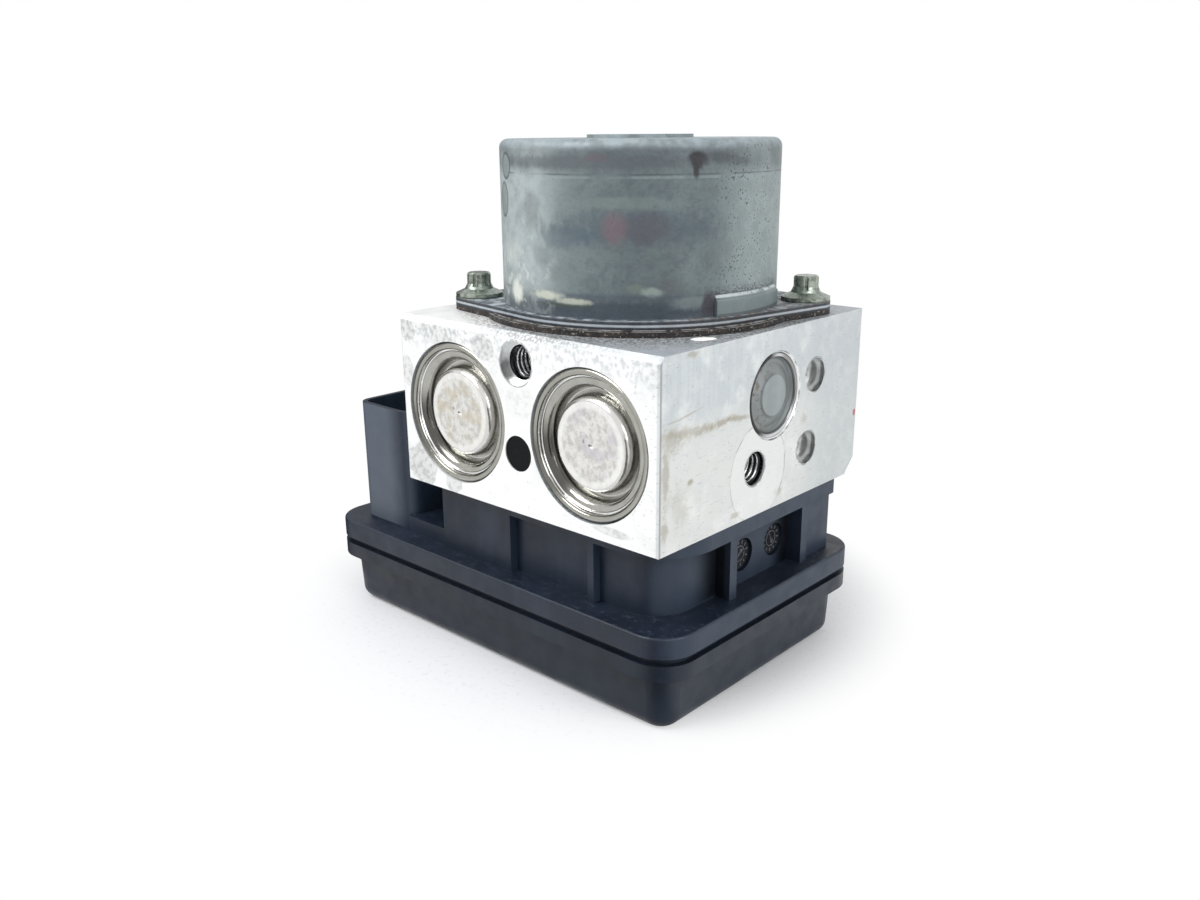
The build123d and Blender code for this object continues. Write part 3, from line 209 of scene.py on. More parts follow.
def machinedAluminium():
    look = blockFinish
    tree, point, (x, y, z), facing, patch, lay, finish = startMaterial("machined_aluminium", look)
    side, top, front = (facing[0], 0.5, 0.9), (facing[2], 0.5, 0.9), (facing[1], -0.5, -0.9)
    # handling marks all over: short level scratches and dull flecks
    dashes = patch(0.5, 0.68, 0.74, 6, stretch=(0.16, 0.16, 1.3))
    flecks = patch(0.8, 0.64, 0.72, 5)
    colour = lay("colour",
        (patch(9, 0.5, 0.7, 7), "cloud", 0.35),
        (dashes, "scratch", 0.3), (flecks, "scratch", 0.3),
        (dryOutline(tree, point, 12, 0.62, 0.005), "blot", 0.22))
    # the front's upper band is mottled, a painted shade line runs just under its top edge, and its right end
    # is scratched
    mottle = patch(1.3, 0.46, 0.62, 6)
    colour = lay(colour,
        (mottle, front, (z, 74, 83.5), "topEdge", 0.5),
        (front, (z, 83.9, 84.5), patch(6, 0.35, 0.5), "topEdge", 0.6),
        (patch(0.45, 0.62, 0.7, 6, stretch=(0.3, 1, 1.2)), front, (x, 30, 38), "scratch", 0.45))
    for (across, height), (wide, tall), strength in frontBlots:
        centre, radii = (across, block["front"], height), (wide, look["spotDepth"], tall)
        body = spot(tree, point, centre, radii, soft=0.25, ragged=0.9, grain=4)
        rim = spot(tree, point, centre, radii, ragged=0.9, grain=4, rim=0.3)
        colour = lay(colour, (body, mottle, front, "blot", strength), (body, front, "blot", strength * 0.6),
                     (rim, front, "scratch", strength * 0.35))
    # the right side is painted darker than the front as shade, and is bluer above with cutter lines, paler
    # and warmer below, greyer at the rear
    lines = patch(1.4, 0.4, 0.62, stretch=(1.2, 0.9, 0.07))
    sideToneAndShade = lay("sideLower",
        ((z, 62, 74), "sideUpper", 1),
        (lines, (z, 62, 74), (y, 8, -6), "sideBrush", 0.22),
        (patch(6, 0.5, 0.72, 7), "sidePale", 0.55),
        ((y, 6, 24), "sideRear", 0.8),
        (patch(3.6, 0.46, 0.7, 7), "cloud", 0.5),
        (patch(0.6, 0.62, 0.72, 5), "sideFleck", 0.45),
        (patch(0.45, 0.64, 0.7, stretch=(0.3, 0.12, 1.4)), "sideFleck", 0.35))
    colour = lay(colour, (side, sideToneAndShade, 1))
    for centre, radii, turn, strength in seepSpots:
        centre, radii = (block["right"], *centre), (look["spotDepth"], *radii)
        stain = spot(tree, point, centre, radii, soft=0.6, ragged=2.2, grain=2.2, turn=turn)
        core = spot(tree, point, centre, [r * 0.7 for r in radii], soft=0.3, ragged=2.6, grain=1.1, turn=turn)
        colour = lay(colour, (stain, side, "seep", strength), (core, side, "seepDark", strength * 0.6))
    # the print that a washer left round the side thread, worn away in places
    washer = (block["right"], -5.9, 53.2)
    colour = lay(colour,
        (spot(tree, point, washer, (10.7, 10.7, 11.4), soft=0.04), side, "sidePale", 0.45),
        (spot(tree, point, washer, (10.8, 10.8, 11.5), ragged=0.1, grain=5, rim=0.24), side,
         patch(5, 0.42, 0.6, 3, 0.2), "print", 0.6),
        # inspection paint at the rear edge
        (spot(tree, point, (block["right"], 36.4, 58.7), (2, 0.6, 0.9), ragged=0.8, grain=0.8),
         "paint", 0.85),
        # painted shade lines either side of the front right edge, and a painted highlight on its chamfer
        (front, (x, 39.3, 39.8), "edge", 0.35),
        ((facing[0], 0.2, 0.45), (facing[1], -0.2, -0.45), "chamferHighlight", 0.9),
        (side, (y, -40.5, -40.95), "edge", 0.75))
    # top: grey film and grit that gather round the motor's gasket, thinner at the left
    fromAxis = distance(tree, point, keep=(1, 1, 0))
    grit = patch(0.6, 0.43, 0.6, 7)
    colour = lay(colour,
        (top, (x, -18, 2), "film", 0.9),
        (grit, top, (x, -14, 4), (fromAxis, 56, 38), "grit", 0.8),
        (grit, top, (fromAxis, 46, 38.5), "grit", 0.75))
    # freshly cut walls of the drilled holes, and a painted shade line round each hole's mouth
    cutWall = 0
    for axis, end, centre, radius in boreSpots:
        middle = (0, *centre) if axis == "X" else (centre[0], 0, centre[1])
        keep = (0, 1, 1) if axis == "X" else (1, 0, 1)
        reach = distance(tree, point, middle, keep)
        atEnd = (x if axis == "X" else y, -end, end) if end else (1, 0, 1)
        colour = lay(colour, (
            atEnd, (reach, radius + 0.05, radius + 0.1), (reach, radius + 0.4, radius + 0.25),
            patch(2.4, 0.4, 0.55), "boreRimShade", 0.7))
        wall = addNode(tree, "Math", (reach, radius + 0.04), operation="LESS_THAN")
        cutWall = addNode(tree, "Math", (cutWall, meet(tree, wall, atEnd)), operation="MAXIMUM")
    colour = lay(colour, (cutWall, "bore", 1))
    # painted shade arcs on the walls of the drilled holes
    for centre, radii, strength in boreShades:
        arc = spot(tree, point, centre, radii, soft=0.35, ragged=0.3)
        colour = lay(colour, (cutWall, arc, "boreShade", strength))
    metal = addNode(tree, "MapRange", {0: cutWall, 3: look["metallic"], 4: look["boreMetal"]})
    dull = addNode(tree, "Mix", {0: cutWall, 2: patch(4, 0.3, 0.7, 3, 0.4, 0.54), 3: look["boreRoughness"]})
    cutterLines = patch(0.5, 0.2, 0.8, stretch=(1, 1, 0.15))
    return finish(colour, dull, cutterLines, 0.02, metal)


# Cut aluminium thread: crests painted bright as highlights over flanks painted dark as shade, with torn
# patches.
threadFinish = {"colour": "#2e3032", "torn": "#191a1c", "crest": "#f0f1f2", "metallic": 1, "roughness": 0.2}


def tappedAluminium():
    tree, *_, patch, lay, finish = startMaterial("tapped_aluminium", threadFinish)
    torn = patch(0.7, 0.45, 0.7, 4)
    height = addNode(tree, "Attribute", out="Fac", attribute_name="crest")
    # a dark base of painted shade with torn patches, and a painted highlight on the crests
    colour = lay("colour", (torn, "torn", 0.7), ((height, 0.55, 0.95), "crest", 1))
    return finish(colour, patch(1, 0.3, 0.7, 3, 0.16, 0.3), torn, 0.02)


# Bright nickel on pressed steel: mirror-like rolled rings, and a boss face rubbed dull, with faint
# upright smears, a yellowed patch on the left cap and a small scuff in the middle.
capFinish = {
    "colour": "#b1b1ab", "metallic": 1, "roughness": 0.16, "haze": "#9a998f", "rimShadeLine": "#4e4e4b",
    "grooveHighlight": "#ffffff", "leftRingShade": "#474543", "boss": "#dedddb", "face": "#dddcd8", "faceSmear": "#b0ada8",
    "faceBright": "#f2f2ef", "faceStain": "#c2b8a0", "faceViolet": "#c4bfc6", "scuffAndSideLight": "#4c4944",
    "chip": "#ffffff", "faceMetallic": 0.5, "faceRoughness": 0.44, "spacing": 42.5, "height": 63.2,
    "lines": (12.5, 14.74, 15.36, 16.75)}


def nickelPlate():
    look = capFinish
    tree, point, (x, _, z), facing, patch, lay, finish = startMaterial("nickel_plated_steel", look)
    # both caps share the pattern: the point is measured from the nearer cap's centre
    shifted = addNode(tree, "Math", (x, -block["middle"]), operation="ADD")
    which = addNode(tree, "Math", (shifted,), operation="SIGN")
    apart = addNode(tree, "Math", (which, look["spacing"] / 2), operation="MULTIPLY")
    across = addNode(tree, "Math", (shifted, apart), operation="SUBTRACT")
    upwards = addNode(tree, "Math", (z, look["height"]), operation="SUBTRACT")
    local = addNode(tree, "CombineXYZ", {0: across, 2: upwards})
    reach = distance(tree, local)
    face = meet(tree, (facing[1], -0.93, -0.99), (reach, 9.9, 9.3))
    smear = patch(1.5, 0.42, 0.64, 8, stretch=(1, 1, 0.8))
    faceTone = lay("face",
        (smear, "faceSmear", 0.6),
        (patch(5, 0.48, 0.66), (shifted, -1, 1), "faceViolet", 0.7),
        (patch(3.2, 0.44, 0.62, 6), (shifted, 1, -1), "faceStain", 0.55),
        (patch(0.6, 0.56, 0.68, 5), "faceSmear", 0.6),
        (dryOutline(tree, point, 4, 0.58, 0.01), "faceSmear", 0.6),
        ((reach, 7.6, 8.6), "faceBright", 0.6),
        (spot(tree, local, (-1.9, 0, 0.7), (0.3, 1, 0.45), ragged=0.8, grain=0.4), "scuffAndSideLight", 0.5),
        (spot(tree, local, (0.1, 0, 0), (0.55, 1, 0.3), ragged=0.8, grain=0.4), "scuffAndSideLight", 0.85),
        (spot(tree, local, (0.45, 0, -0.3), (0.5, 1, 0.25), ragged=0.6, grain=0.4), "chip", 0.9))
    ringTone = lay("colour",
        (patch(4, 0.4, 0.66, 6), "haze", 0.5),
        ((reach, 12.5, 11.6), "boss", 0.9),
        ((reach, 15.3, 15.5), (reach, 16.4, 16), "haze", 0.5),
        # painted shade on the lower left of both rings
        ((across, -3, -9), (upwards, 5, -2), (reach, 12.2, 12.8), (reach, 14.8, 14.5), "leftRingShade", 0.85),
        ((across, -6, -12), (upwards, 2, -4), (reach, 15.3, 15.6), "leftRingShade", 0.6),
        # a painted highlight line in the groove between the rings
        ((reach, 14.84, 14.92), (reach, 15.24, 15.16), "grooveHighlight", 1))
    # painted shade lines along the ring edges
    for radius in look["lines"]:
        ringTone = lay(ringTone, ((awayFrom(tree, reach, radius), 0.13, 0.05), "rimShadeLine", 0.8))
    colour = lay(ringTone, (face, faceTone, 1))
    metal = addNode(tree, "MapRange", {0: face, 3: look["metallic"], 4: look["faceMetallic"]})
    dull = addNode(tree, "Mix", {0: face, 2: patch(3, 0.4, 0.7, 3, 0.12, 0.24), 3: look["faceRoughness"]})
    return finish(colour, dull, smear, 0.015, metal)


# Zinc-nickel plate on drawn steel, years in an engine bay: cool matt grey, a painted sheen over chalky
# patches towards both sides, darker belts where the drawing die rubbed, dried drips, scuffs, pits and a
# little dark grease.
canFinish = {
    "colour": "#5d686b", "metallic": 0.2, "roughness": 0.52, "soft": "#6d797b", "shade": "#485158",
    "teal": "#63716f", "chalk": "#939e9e", "mid": "#818c8d", "leftChalkAndSheen": "#aab3b4", "low": "#2b353f",
    "bloom": "#dfe3dc", "belt": "#50575c", "rim": "#9ba7ac", "stepShade": "#40484e", "stepHighlight": "#8b9799",
    "pit": "#3a4244", "fleck": "#b0b9b9", "ovalEdge": "#4c5558", "oval": "#939d9c", "ledgeHighlight": "#ced6d8",
    "ledge": "#7a8687", "grease": "#2b2a2f", "flange": "#6c747c", "flangeHighlight": "#cdd6de",
    "flangeGrimeAndShade": "#282c33", "rust": "#6a5c52"}
canSpots = [   # degrees round the can and height, half sizes, colour, strength
    ((-50, 107.6), (30, 3.4), "#46525c", 0.6), ((-78, 105.6), (13, 2.6), "#4a5961", 0.55),
    ((-59, 107.4), (4.6, 3.2), "#7d5f63", 0.42), ((-47, 107.3), (8, 3), "#544e57", 0.5),
    ((-55, 112.6), (20, 1.2), "#78847f", 0.35), ((-96, 110.4), (5, 4.4), "#5d6262", 0.4),
    ((-90, 101), (4.6, 2.2), "#59605f", 0.35), ((-83, 97.6), (6, 1.6), "#616a69", 0.3),
    ((-70, 120.9), (44, 1.4), "#4e545a", 0.55), ((-66, 121.8), (4, 0.9), "#63505a", 0.4),
    ((-28.5, 121.9), (3.4, 1.2), "#232226", 0.97), ((-28.7, 120.5), (2.3, 1.3), "#2a292e", 0.95),
    ((-29, 119), (1.1, 1.5), "#2a292e", 0.9), ((-25.4, 120.9), (1.2, 0.8), "#38383c", 0.6),
    ((-20, 121.8), (8, 1), "#3a3b40", 0.5), ((-12, 121), (9, 0.8), "#4c5257", 0.5),
    ((-51.5, 94.9), (2.6, 0.9), "#6f7a6f", 0.6), ((-45, 94), (4, 1), "#8c9a93", 0.75),
    ((-38, 95.4), (5, 1.8), "#515054", 0.4), ((-60, 92.8), (30, 0.8), "#45505b", 0.5),
    ((-55, 89.9), (42, 2.2), "#343e49", 0.75), ((-30, 91.6), (8, 1.4), "#7d898a", 0.5),
    ((-88, 92.6), (7.5, 0.9), "#c3c7b9", 0.85), ((-76, 91.6), (7.5, 0.7), "#b3b7aa", 0.8),
    ((-80, 90.7), (13, 0.4), "#3c463c", 0.6), ((-107.5, 92.3), (4, 2.6), "#dfe2da", 0.9),
    ((-112, 101), (7, 3.6), "#bfc6c3", 0.6), ((-22.6, 90.8), (3, 2.6), "#33303a", 0.9),
    ((-20, 92.8), (1.8, 1), "#4e4a50", 0.6)]
canOvals = [((-116, 119.8), (5, 3)), ((-119, 112.4), (5, 4))]   # two pressed marks


def weatheredZinc():
    tree, _, (x, y, z), facing, patch, lay, finish = startMaterial("weathered_zinc_steel", canFinish)
    angle = addNode(tree, "Math", (y, x), operation="ARCTAN2")
    angle = addNode(tree, "Math", (angle, 180 / math.pi), operation="MULTIPLY")
    wrap = addNode(tree, "CombineXYZ", {0: angle, 2: z})   # degrees round, mm up
    # both sides of painted sheen fade out before the angle jumps at the back of the can's left
    left = meet(tree, (angle, -78, -98), (angle, -176, -130))
    right = meet(tree, (angle, -26, -2), (angle, 176, 120))
    cloudy = patch(3, 0.3, 0.62, 7, 0.68)
    colour = lay("colour",
        (patch(9, 0.38, 0.66, 7), "soft", 0.8),
        (patch(5, 0.5, 0.7, 4), "teal", 0.5),
        (patch(2, 0.46, 0.7, 6), "shade", 0.35),
        (patch(0.9, 0.46, 0.7, 5), "shade", 0.25),
        # painted sheen towards both sides as seen, broken by cloudy chalk patches
        (right, cloudy, "chalk", 1),
        ((angle, 40, 70), (angle, 176, 130), "soft", 0.6),
        ((angle, -66, -88), (angle, -176, -130), cloudy, "mid", 0.75),
        (left, cloudy, "leftChalkAndSheen", 0.95))
    # the step that the die left under the rim, drawn as painted shade and highlight lines, and one more
    # painted shade line low down
    for height, half, tint, strength in (
            (118.4, 0.25, "stepShade", 0.6), (117.8, 0.4, "stepHighlight", 0.4), (93, 0.25, "stepShade", 0.35)):
        away = awayFrom(tree, z, height)
        colour = lay(colour, ((away, half, half * 0.3), patch(7, 0.35, 0.6), tint, strength))
    colour = lay(colour,
        ((z, 117.6, 120.5), patch(8, 0.35, 0.6, 3, 0.5), "belt", 0.6),
        ((z, 122.8, 125), patch(2.4, 0.35, 0.65, 6, 0.5), "rim", 0.9),
        ((z, 95, 89.5), patch(6, 0.35, 0.6, 3, 0.4), "low", 0.75))
    for (around, height), (wide, tall), tint, strength in canSpots:
        mark = spot(tree, wrap, (around, 0, height), (wide, 1, tall), soft=0.45, ragged=1.2, grain=2.6)
        colour = lay(colour, (mark, tint, strength))
    for (around, height), (wide, tall) in canOvals:
        middle = (around, 0, height)
        colour = lay(colour,
            (spot(tree, wrap, middle, (wide, 1, tall), soft=0.1), "ovalEdge", 0.85),
            (spot(tree, wrap, middle, (wide - 0.8, 1, tall - 0.5), soft=0.1), "oval", 0.85))
    colour = lay(colour,
        # white zinc bloom, thickest low down at the left
        (patch(2.4, 0.54, 0.68, 7), left, (z, 112, 94), "bloom", 0.4),
        # pits and flecks
        (patch(0.55, 0.58, 0.64), patch(3, 0.42, 0.56), (angle, -30, -14),
         (angle, 110, 50), (facing[2], 0.7, 0.4), "pit", 0.85),
        (patch(0.6, 0.66, 0.71), "pit", 0.35),
        (patch(0.6, 0.64, 0.72), right, "fleck", 0.4))
    # pressed ledge: a paler face, a painted highlight along its top edge, grease caught above it, and painted
    # shade on the flange below it
    onLedge = meet(tree, (angle, -20.5, -19.5), (angle, 23, 21))
    colour = lay(colour,
        (onLedge, (z, 92.3, 91.6), "ledge", 0.8),
        (onLedge, (z, 92.1, 92.35), (z, 93, 92.75), patch(2, 0.34, 0.5), "ledgeHighlight", 0.75),
        (onLedge, (z, 92.75, 92.95), (z, 95.4, 92.9),
         patch(0.5, 0.48, 0.58, 6, stretch=(1, 1, 1.6)), "grease", 0.8),
        (onLedge, (z, 88.9, 88.6), "flangeGrimeAndShade", 0.5))
    # mounting flange: a painted highlight on top and in a line down its side, painted shade below its lip and
    # at its foot, dull grime in patches and rust stains by the bolts
    flange = (z, 88.35, 88.1)
    fromBolts = addNode(tree, "Math", (x,), operation="ABSOLUTE")
    colour = lay(colour,
        (flange, "flange", 1),
        (flange, patch(1.8, 0.42, 0.62, 6), "flangeGrimeAndShade", 0.6),
        (flange, (facing[2], 0.5, 0.8), patch(2.6, 0.4, 0.62), "flangeHighlight", 0.7),
        (flange, (fromBolts, 24, 32), patch(1.4, 0.42, 0.6, 6), "rust", 0.7),
        (flange, (z, 87.95, 87.75), (z, 87.2, 87.4), "flangeGrimeAndShade", 0.8),
        (flange, (z, 87.35, 87.15), (z, 86.7, 86.85), "flangeHighlight", 0.6),
        ((z, 86.75, 86.55), "flangeGrimeAndShade", 0.9))
    return finish(colour, patch(6, 0.3, 0.7, 3, 0.44, 0.62), patch(0.9, 0.3, 0.7, 4), 0.035)


# Turned steel plug: a bright burnished rim where it was staked, matt grey inside, rust-brown grime
# in the valley.
plugFinish = {
    "colour": "#949b9c", "metallic": 0.6, "roughness": 0.42, "rim": "#d2d5d6", "soft": "#aab0b1",
    "valley": "#84898a", "grime": "#6f665b", "rimShadeLine": "#1d1e20", "shade": "#666b70", "dull": "#8d8c89",
    "height": 69.8, "turning": 0.45, "rimMetallic": 1, "rimRoughness": 0.16}


def stakedPlug():
    look = plugFinish
    tree, point, (_, y, z), _, patch, lay, finish = startMaterial("turned_steel_plug", look)
    reach = distance(tree, point, (0, 0, look["height"]), (0, 1, 1))
    rim = meet(tree, (reach, 8.5, 8.9))
    valley = meet(tree, (reach, 4.65, 4.8), (reach, 8.8, 8.3))
    colour = lay("colour",
        (patch(4, 0.35, 0.7, 5), "soft", 0.5),
        (valley, "valley", 0.8),
        (valley, patch(1.2, 0.5, 0.62, 6), (y, 2, -5), "grime", 0.8),
        (rim, "rim", 1),
        # painted shade at the left of the boss's foot
        ((reach, 4.6, 4.75), (reach, 5.5, 5.1), (y, 1, -1.5), "shade", 0.7),
        ((reach, 8.9, 9), (reach, 9.7, 9.5), (y, 1.5, 4), (z, 63, 66.5), "dull", 0.85),
        # a painted shadow crescent on the left of the rim, and painted shade lines round it
        ((reach, 8.6, 8.8), (y, 1.5, -2.5), (z, 60.3, 62.3), "rimShadeLine", 0.95),
        ((reach, 8.5, 8.6), (reach, 8.95, 8.85), "rimShadeLine", 0.75),
        ((reach, 9.5, 9.65), (y, -1, 3), "rimShadeLine", 0.9))
    metal = addNode(tree, "MapRange", {0: rim, 3: look["metallic"], 4: look["rimMetallic"]})
    dull = addNode(tree, "MapRange", {0: rim, 3: look["roughness"], 4: look["rimRoughness"]})
    rings = addNode(tree, "Math", (reach, 2 * math.pi / look["turning"]), operation="MULTIPLY")
    rings = addNode(tree, "Math", (rings,), operation="SINE")
    return finish(colour, dull, rings, 0.006, metal)


# Coated steel gasket: nearly black, its pressed bead and other upward faces paler, partly rubbed grey and
# partly painted light, brown rust along the open edge.
gasketFinish = {
    "colour": "#1b1a1b", "metallic": 0.2, "roughness": 0.5, "rubbedAndLitTop": "#a9a8a7", "rust": "#5f5046",
    "grit": "#b1aaa0"}


def coatedGasket():
    *_, facing, patch, lay, finish = startMaterial("rubber_coated_steel", gasketFinish)
    upward = (facing[2], 0.6, 0.95)
    colour = lay("colour",
        (patch(1.6, 0.46, 0.62, 6), "rust", 0.22),
        (upward, patch(1.6, 0.44, 0.6, 6), "rust", 0.5),
        (upward, patch(2.2, 0.38, 0.6, 5), "rubbedAndLitTop", 0.7),
        (patch(0.6, 0.6, 0.68, 4), "grit", 0.6))
    return finish(colour, patch(2, 0.3, 0.7, 3, 0.36, 0.6), patch(0.5, 0.3, 0.7), 0.05)


# Zinc-plated screw: greenish passivated grey, darker in the flutes and on the washer's cone, with painted
# shade at its foot where it sits on the flange.
boltFinish = {"colour": "#a3aba0", "metallic": 0.85, "roughness": 0.3, "dark": "#3c433c", "washer": "#87908a"}


def passivatedZinc():
    *_, (_, _, z), _, patch, lay, finish = startMaterial("passivated_zinc_screw", boltFinish)
    colour = lay("colour",
        (patch(1.3, 0.4, 0.66, 4), "dark", 0.6),
        ((z, 91.4, 90.2), (z, 88.9, 89.4), "washer", 0.5),
        # painted shade at the foot, where the washer sits on the flange
        ((z, 88.5, 88.2), "dark", 0.6))
    return finish(colour, patch(1, 0.3, 0.7, 3, 0.22, 0.4), patch(0.6, 0.3, 0.7), 0.02)


print("stage: plastic finishes")

# Glass-filled nylon, moulded: near-black with a blue cast and a spark-eroded satin grain, fine dust
# on the ledges, painted light on the right-facing sides, a painted highlight on the front right corner,
# deep shade where the side wall runs in behind its rib.
housingFinish = {
    "colour": "#141c29", "metallic": 0, "roughness": 0.42, "specular": 0.36, "second": "#1b2534",
    "flow": "#262f3f", "shroud": "#5a636f", "shroudEdge": (-50, -58), "dust": "#4e5762",
    "scuffAndSideLight": "#3b495b", "corner": "#363f4c", "shade": "#04060a", "grain": 0.35}
coverFinish = {
    "colour": "#0d1520", "second": "#131d2b", "flow": "#18222f", "scuffAndSideLight": "#27313f", "dust": "#3a424d"}


def mouldedNylon(name, look):
    *_, (x, y, z), facing, patch, lay, finish = startMaterial(name, look)
    colour = lay("colour",
        (patch(16, 0.36, 0.66), "second", 0.7),
        (patch(6, 0.44, 0.7, stretch=(1, 1, 0.12)), "flow", 0.4),
        ((facing[2], 0.6, 0.95), patch(1.1, 0.54, 0.75, 6), "dust", 0.35),
        (patch(0.5, 0.7, 0.76), "dust", 0.5),
        # painted light on every right-facing side
        ((facing[0], 0.4, 0.9), "scuffAndSideLight", 0.45),
        ((facing[1], -0.5, -0.9), (x, *look["shroudEdge"]), (z, 24.9, 25.4), "shroud", 0.7),
        ((facing[0], 0.4, 0.9), (x, 38.6, 38), (x, 34.8, 35.2), (y, 5, 12.5),
         (y, 15.4, 15.2), "shade", 0.95),
        # a painted highlight down the tub's front right corner
        ((facing[0], 0.4, 0.7), (facing[1], -0.4, -0.7), (z, 24, 26), "corner", 0.8),
        ((x, 33, 34.5), (x, 38.9, 38.5), (y, -25, -17), (y, -13, -13.1), (z, 24.5, 25.5), "shade", 0.9))
    return finish(colour, patch(5, 0.3, 0.7, 3, 0.34, 0.5), patch(look["grain"], 0.2, 0.8), 0.012)


def evenFinish(name, colour, metallic, roughness, second, size, depth=0.01, specular=0.5):
    # an even surface with a second tone in patches and a fine grain
    look = {"colour": colour, "metallic": metallic, "roughness": roughness, "specular": specular}
    *_, patch, lay, finish = startMaterial(name, look)
    colour = lay(colour, (patch(size, 0.38, 0.64), second, 0.7))
    dull = patch(size, 0.3, 0.7, 3, roughness * 0.85, roughness * 1.15)
    return finish(colour, dull, patch(size / 4, 0.2, 0.8), depth)


finishes = {
    "block": machinedAluminium(),
    "thread": tappedAluminium(),
    "cap": nickelPlate(),
    "can": weatheredZinc(),
    "housing": mouldedNylon("moulded_nylon_housing", housingFinish),
    "cover": mouldedNylon("moulded_nylon_cover", {**housingFinish, **coverFinish}),
    "gasket": coatedGasket(),
    "bolt": passivatedZinc(),
    "pumpPlug": stakedPlug(),
}
# name, colour, metallic, roughness, second tone, size of its patches, then relief and specular level
evenFinishes = {
    "channelPlug": ("bright_turned_steel", "#f6f6f4", 0.5, 0.2, "#aeb1b2", 1),
    "vent": ("black_moulded_acetal", "#08090c", 0, 0.65, "#0e0f13", 2, 0.01, 0.15),
    "steel": ("ground_bearing_steel", "#b4b4b2", 1, 0.25, "#9c9c9a", 2),
    "plated": ("zinc_plated_sheet_steel", "#a4a6a4", 0.9, 0.36, "#8b8d8c", 3),
    "core": ("stacked_electrical_steel", "#5e5f63", 0.8, 0.45, "#4a4b4f", 0.5),
    "copper": ("enamelled_copper_wire", "#a8603a", 0.7, 0.35, "#7e4226", 0.6, 0.05),
    "ferrite": ("sintered_ferrite", "#2b2b2e", 0.1, 0.6, "#1e1e20", 1),
    "carbon": ("copper_graphite", "#33302e", 0.3, 0.55, "#231f1d", 0.6),
    "nylon": ("natural_black_nylon", "#1d1f22", 0, 0.5, "#2a2d31", 3),
    "tin": ("tin_plated_brass", "#c9c5b8", 0.95, 0.3, "#aaa596", 0.8),
    "board": ("green_solder_mask_laminate", "#1c4a2c", 0, 0.4, "#153a22", 2),
    "chip": ("black_epoxy_package", "#1b1b1d", 0, 0.55, "#252528", 0.8),
    "capacitor": ("sleeved_aluminium_can", "#b2b4b6", 0.85, 0.3, "#9a9c9e", 2),
    "piston": ("hard_anodised_aluminium", "#8d8f8c", 0.6, 0.4, "#777975", 2),
    "spring": ("drawn_spring_wire", "#6e6c68", 0.9, 0.35, "#565450", 0.6),
    "rubber": ("nitrile_rubber", "#17171a", 0, 0.6, "#202024", 0.8),
    "enamel": ("white_marking_enamel", "#f8f8f6", 0, 0.35, "#eeeeea", 1, 0.03),
    "insert": ("etched_insert_print", "#0d0f13", 0, 0.5, "#171a20", 0.9, 0.03, 0.25),
    "dial": ("polished_insert_print", "#666c75", 0, 0.4, "#352a2c", 0.7, 0.02),
}
for key, values in evenFinishes.items():
    finishes[key] = evenFinish(*values)

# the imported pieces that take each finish; a left and right pair is named once, without its side
wornBy = {
    "block": "valve_block", "vent": "vent_plug", "channelPlug": "channel_plugs", "can": "motor_can",
    "gasket": "motor_gasket", "bolt": "motor_bolts", "housing": "ecu_housing", "cover": "ecu_cover",
    "cap": "accumulator_cap", "piston": "accumulator_piston", "rubber": "accumulator_seal",
    "spring": "accumulator_spring pump_spring", "pumpPlug": "pump_plug", "ferrite": "motor_magnets",
    "carbon": "motor_brushes", "nylon": "brush_holder coil_carrier", "core": "armature_core",
    "copper": "armature_windings commutator coil_windings", "board": "circuit_board",
    "chip": "board_chips", "capacitor": "board_capacitors",
    "tin": "motor_terminals coil_leads signal_pins power_blades",
    "plated": "motor_end_shield bearing_retainer coil_yokes housing_screws board_screws inlet_valves "
              "outlet_valves",
    "steel": "upper_bearing lower_bearing rotor_shaft eccentric eccentric_rollers eccentric_ring "
             "outlet_check_balls pump_sleeve pump_piston",
}
finishOf = {part: finish for finish, parts in wornBy.items() for part in parts.split()}
for name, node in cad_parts.items():
    part = name.removesuffix("_left").removesuffix("_right")
    node.data.materials.clear()
    node.data.materials.append(finishes[finishOf[part]])


def addObject(name, data):
    thing = bpy.data.objects.new(name, data)
    bpy.context.scene.collection.objects.link(thing)
    return thing


def addPiece(name, points, faces, finish, smooth=True):
    mesh = bpy.data.meshes.new(name)
    mesh.from_pydata([Vector(p) * mm for p in points], [], faces)
    mesh.polygons.foreach_set("use_smooth", [smooth] * len(mesh.polygons))
    mesh.materials.append(finishes[finish])
    mesh.validate()
    piece = addObject(name, mesh)
    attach(piece, "module")
    return piece


def onCircle(radius, degrees):
    return Vector((math.cos(math.radians(degrees)), math.sin(math.radians(degrees)))) * radius


def skin(rows):
    # faces between rings of point numbers; a ring may be one point repeated
    faces = []
    for inner, outer in zip(rows, rows[1:]):
        for step, (near, far) in enumerate(zip(inner, outer)):
            after = (step + 1) % len(inner)
            faces.append(tuple(dict.fromkeys((near, far, outer[after], inner[after]))))
    return faces


def turnedPiece(name, profile, centre, outward, around, finish):
    # turns a closed profile of (radius, height) about the axis outward; radius 0 becomes one point
    out = Vector(outward).normalized()
    first = out.orthogonal().normalized()
    second = out.cross(first)
    points, rows = [], []
    for radius, height in profile:
        if radius == 0:
            rows.append([len(points)] * around)
            points.append(Vector(centre) + out * height)
            continue
        rows.append([len(points) + step for step in range(around)])
        for step in range(around):
            angle = 2 * math.pi * step / around
            points.append(Vector(centre) + out * height
                          + (first * math.cos(angle) + second * math.sin(angle)) * radius)
    return addPiece(name, points, skin(rows), finish)


print("stage: caps")

